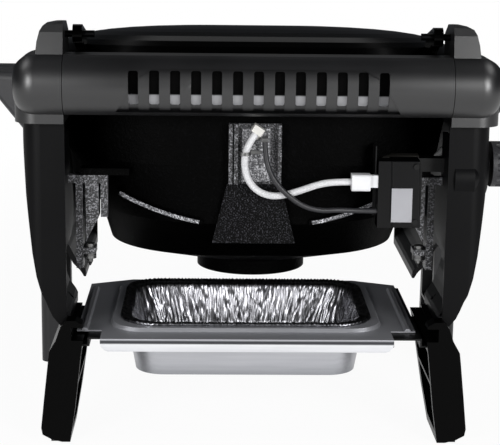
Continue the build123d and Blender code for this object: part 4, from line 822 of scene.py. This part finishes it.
def pan_ring(half_length, half_depth, corner):
    """Points, outward directions and run along the edge of a rounded rectangle."""
    ring = []
    run = 0.0
    spans = [
        (half_length - corner, half_depth - corner, 0.0),
        (corner - half_length, half_depth - corner, math.pi / 2),
        (corner - half_length, corner - half_depth, math.pi),
        (half_length - corner, corner - half_depth, math.pi * 1.5),
    ]
    for index, (centre_x, centre_y, start) in enumerate(spans):
        for step in range(pan_corner_points):
            angle = start + math.pi / 2 * step / pan_corner_points
            out = (math.cos(angle), math.sin(angle))
            ring.append((centre_x + corner * out[0], centre_y + corner * out[1], out))
        after = spans[(index + 1) % 4]
        out = (math.cos(start + math.pi / 2), math.sin(start + math.pi / 2))
        here = (centre_x + corner * out[0], centre_y + corner * out[1])
        there = (after[0] + corner * out[0], after[1] + corner * out[1])
        for step in range(pan_side_points):
            part = step / pan_side_points
            ring.append(
                (here[0] + (there[0] - here[0]) * part, here[1] + (there[1] - here[1]) * part, out)
            )
    placed = []
    for index, (x, y, out) in enumerate(ring):
        if index:
            run += math.hypot(x - ring[index - 1][0], y - ring[index - 1][1])
        placed.append((x, y, out, run))
    return placed


wall_ring = pan_ring(*pan_profile[wall_row][:3])
pan_points = []
for half_length, half_depth, corner, height, pleat, crimp in pan_profile:
    for index, (x, y, out, _) in enumerate(pan_ring(half_length, half_depth, corner)):
        run = wall_ring[index][3]
        spot = Vector((run / drift_along_mm, height / drift_down_mm, 0.0))
        drift = drift_turns * noise.noise(spot)
        fold = abs(((run / pleat_mm + drift * pleat_drift_share) % 1.0) * 2.0 - 1.0)
        spot = Vector((run / crease_along_mm, height / crease_down_mm, crease_level))
        crease = noise.noise(spot)
        push = -pleat * (fold_share * fold - fold_start_share + crease_share * crease)
        roll = crimp * math.sin(2 * math.pi * run / crimp_mm + drift * crimp_drift_turns)
        spot = Vector((x / dent_width_mm, y / dent_width_mm, height / dent_width_mm))
        dent = dent_depth_mm * noise.noise(spot)
        if height > rim_height_mm:
            dent = rim_dent_mm * crease
        if height >= floor_height_mm:
            dent = wall_dent_share * dent
        pan_points.append(
            (
                (pan_middle[0] + x + out[0] * push) / 1000,
                (pan_middle[1] + y + out[1] * push) / 1000,
                (height + max(crimp_low_mm, crimp_share * roll) + dent) / 1000,
            )
        )
ring_points = len(wall_ring)
pan_faces = []
for row in range(len(pan_profile) - 1):
    for index in range(ring_points):
        after = (index + 1) % ring_points
        pan_faces.append(
            (
                row * ring_points + index,
                row * ring_points + after,
                (row + 1) * ring_points + after,
                (row + 1) * ring_points + index,
            )
        )
last_ring = (len(pan_profile) - 1) * ring_points
pan_faces.append(tuple(last_ring + index for index in range(ring_points)))
pan_mesh = bpy.data.meshes.new("pleated_foil_pan")
pan_mesh.from_pydata(pan_points, [], pan_faces)
pan_mesh.update()
for face in pan_mesh.polygons:
    face.use_smooth = True
foil_piece = bpy.data.objects.new("pleated_foil_pan", pan_mesh)
scene.collection.objects.link(foil_piece)
foil_gauge = foil_piece.modifiers.new("foil_gauge", "SOLIDIFY")
foil_gauge.thickness = foil_gauge_m
foil_gauge.offset = 0.0
foil = rolled(
    "pressed_foil",
    dark="#59595d",
    light="#9a9a9e",
    roughness=0.3,
    streak_mm=3.0,
    streak_axis=2,
)
pan_mesh.materials.append(foil)
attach(foil_piece, "tray")
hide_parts("foil_pan")

# Studio floor: white paper that reads as plain white and keeps a soft shadow round
# the feet. It is seen in reflections near the grill only, so the black stays black.
floor_mesh = bpy.data.meshes.new("studio_floor")
reach = 14.0
floor_mesh.from_pydata(
    [(-reach, -reach, 0), (reach, -reach, 0), (reach, reach, 0), (-reach, reach, 0)],
    [],
    [(0, 1, 2, 3)],
)
studio_floor = bpy.data.objects.new("studio_floor", floor_mesh)
scene.collection.objects.link(studio_floor)
paper = bpy.data.materials.new("white_sweep_paper")
paper.use_nodes = True
paper_tree = paper.node_tree
paper_tree.nodes.clear()
seen = add_node(paper, "ShaderNodeLightPath")
paper_place = add_node(paper, "ShaderNodeTexCoord")
from_grill = add_node(
    paper, "ShaderNodeVectorMath", {"operation": "LENGTH"}, Vector=paper_place.outputs["Object"]
)
bare_paper = add_node(paper, "ShaderNodeBsdfDiffuse", {"Color": tone("#f4f4f4")})
plain_white = add_node(paper, "ShaderNodeEmission", {"Color": (1, 1, 1, 1), "Strength": 1.0})
# the camera sees 95% plain white near the grill, and all white from 1.4 m on
near_grill_m, all_white_m = 0.5, 1.4
plain_share = add_node(
    paper,
    "ShaderNodeMapRange",
    {"From Min": near_grill_m, "From Max": all_white_m, "To Min": 0.95, "To Max": 1.0},
    Value=from_grill.outputs["Value"],
)
mirrored_to_m, unseen_from_m = 1.6, 3.0
mirror_share = add_node(
    paper,
    "ShaderNodeMapRange",
    {"From Min": mirrored_to_m, "From Max": unseen_from_m, "To Min": 0.85, "To Max": 0.0},
    Value=from_grill.outputs["Value"],
)
for_camera = add_node(
    paper,
    "ShaderNodeMath",
    {"operation": "MULTIPLY"},
    i0=seen.outputs["Is Camera Ray"],
    i1=plain_share.outputs["Result"],
)
for_gloss = add_node(
    paper,
    "ShaderNodeMath",
    {"operation": "MULTIPLY"},
    i0=seen.outputs["Is Glossy Ray"],
    i1=mirror_share.outputs["Result"],
)
share = add_node(
    paper,
    "ShaderNodeMath",
    {"operation": "MAXIMUM"},
    i0=for_camera.outputs[0],
    i1=for_gloss.outputs[0],
)
mixed = add_node(
    paper,
    "ShaderNodeMixShader",
    i0=share.outputs[0],
    i1=bare_paper.outputs[0],
    i2=plain_white.outputs[0],
)
add_node(paper, "ShaderNodeOutputMaterial", Surface=mixed.outputs[0])
floor_mesh.materials.append(paper)

# Room: the camera sees it white, while surfaces are lit by it dimly and mirror it
# nearly dark, as in a studio with black screens.
room = bpy.data.worlds.new("studio_room")
room.use_nodes = True
scene.world = room
room.node_tree.nodes.clear()
room_path = add_node(room, "ShaderNodeLightPath")
room_white = add_node(room, "ShaderNodeBackground", {"Color": (1, 1, 1, 1), "Strength": 1.0})
room_dim = add_node(room, "ShaderNodeBackground", {"Color": tone("#b8bcc4"), "Strength": 0.3})
room_dark = add_node(room, "ShaderNodeBackground", {"Color": tone("#b8bcc4"), "Strength": 0.08})
room_mirrored = add_node(
    room,
    "ShaderNodeMixShader",
    i0=room_path.outputs["Is Glossy Ray"],
    i1=room_dim.outputs[0],
    i2=room_dark.outputs[0],
)
room_mix = add_node(
    room,
    "ShaderNodeMixShader",
    i0=room_path.outputs["Is Camera Ray"],
    i1=room_mirrored.outputs[0],
    i2=room_white.outputs[0],
)
add_node(room, "ShaderNodeOutputWorld", Surface=room_mix.outputs[0])

# Lamps: five soft boxes. Two low ones behind the grill light the foil and the ends of
# the vent band, two weak ones overhead and one at the cook's side lift the rest.


def soft_lamp(name, place, aim_at, width, height, watts):
    """A rectangular soft box turned to a point."""
    lamp = bpy.data.lights.new(name, "AREA")
    lamp.shape = "RECTANGLE"
    lamp.size = width
    lamp.size_y = height
    lamp.energy = watts
    holder = bpy.data.objects.new(name, lamp)
    scene.collection.objects.link(holder)
    direction = Vector(aim_at) - Vector(place)
    holder.rotation_euler = direction.to_track_quat("-Z", "Y").to_euler()
    holder.location = place


soft_lamp(
    "overhead_right_box",
    place=(0.95, 0.35, 1.3),
    aim_at=(0.2, 0.1, 0.3),
    width=0.5,
    height=0.6,
    watts=3,
)
soft_lamp(
    "overhead_left_box",
    place=(-0.95, 0.35, 1.3),
    aim_at=(-0.2, 0.1, 0.3),
    width=0.5,
    height=0.6,
    watts=3,
)
soft_lamp(
    "right_box",
    place=(0.85, 1.4, 0.55),
    aim_at=(0.15, 0.18, 0.28),
    width=0.4,
    height=0.6,
    watts=13,
)
soft_lamp(
    "left_box",
    place=(-0.85, 1.4, 0.55),
    aim_at=(-0.15, 0.18, 0.28),
    width=0.4,
    height=0.6,
    watts=15,
)
soft_lamp(
    "cook_side_box",
    place=(0.0, -1.0, 1.5),
    aim_at=(0.0, 0.0, 0.25),
    width=1.2,
    height=0.6,
    watts=2,
)
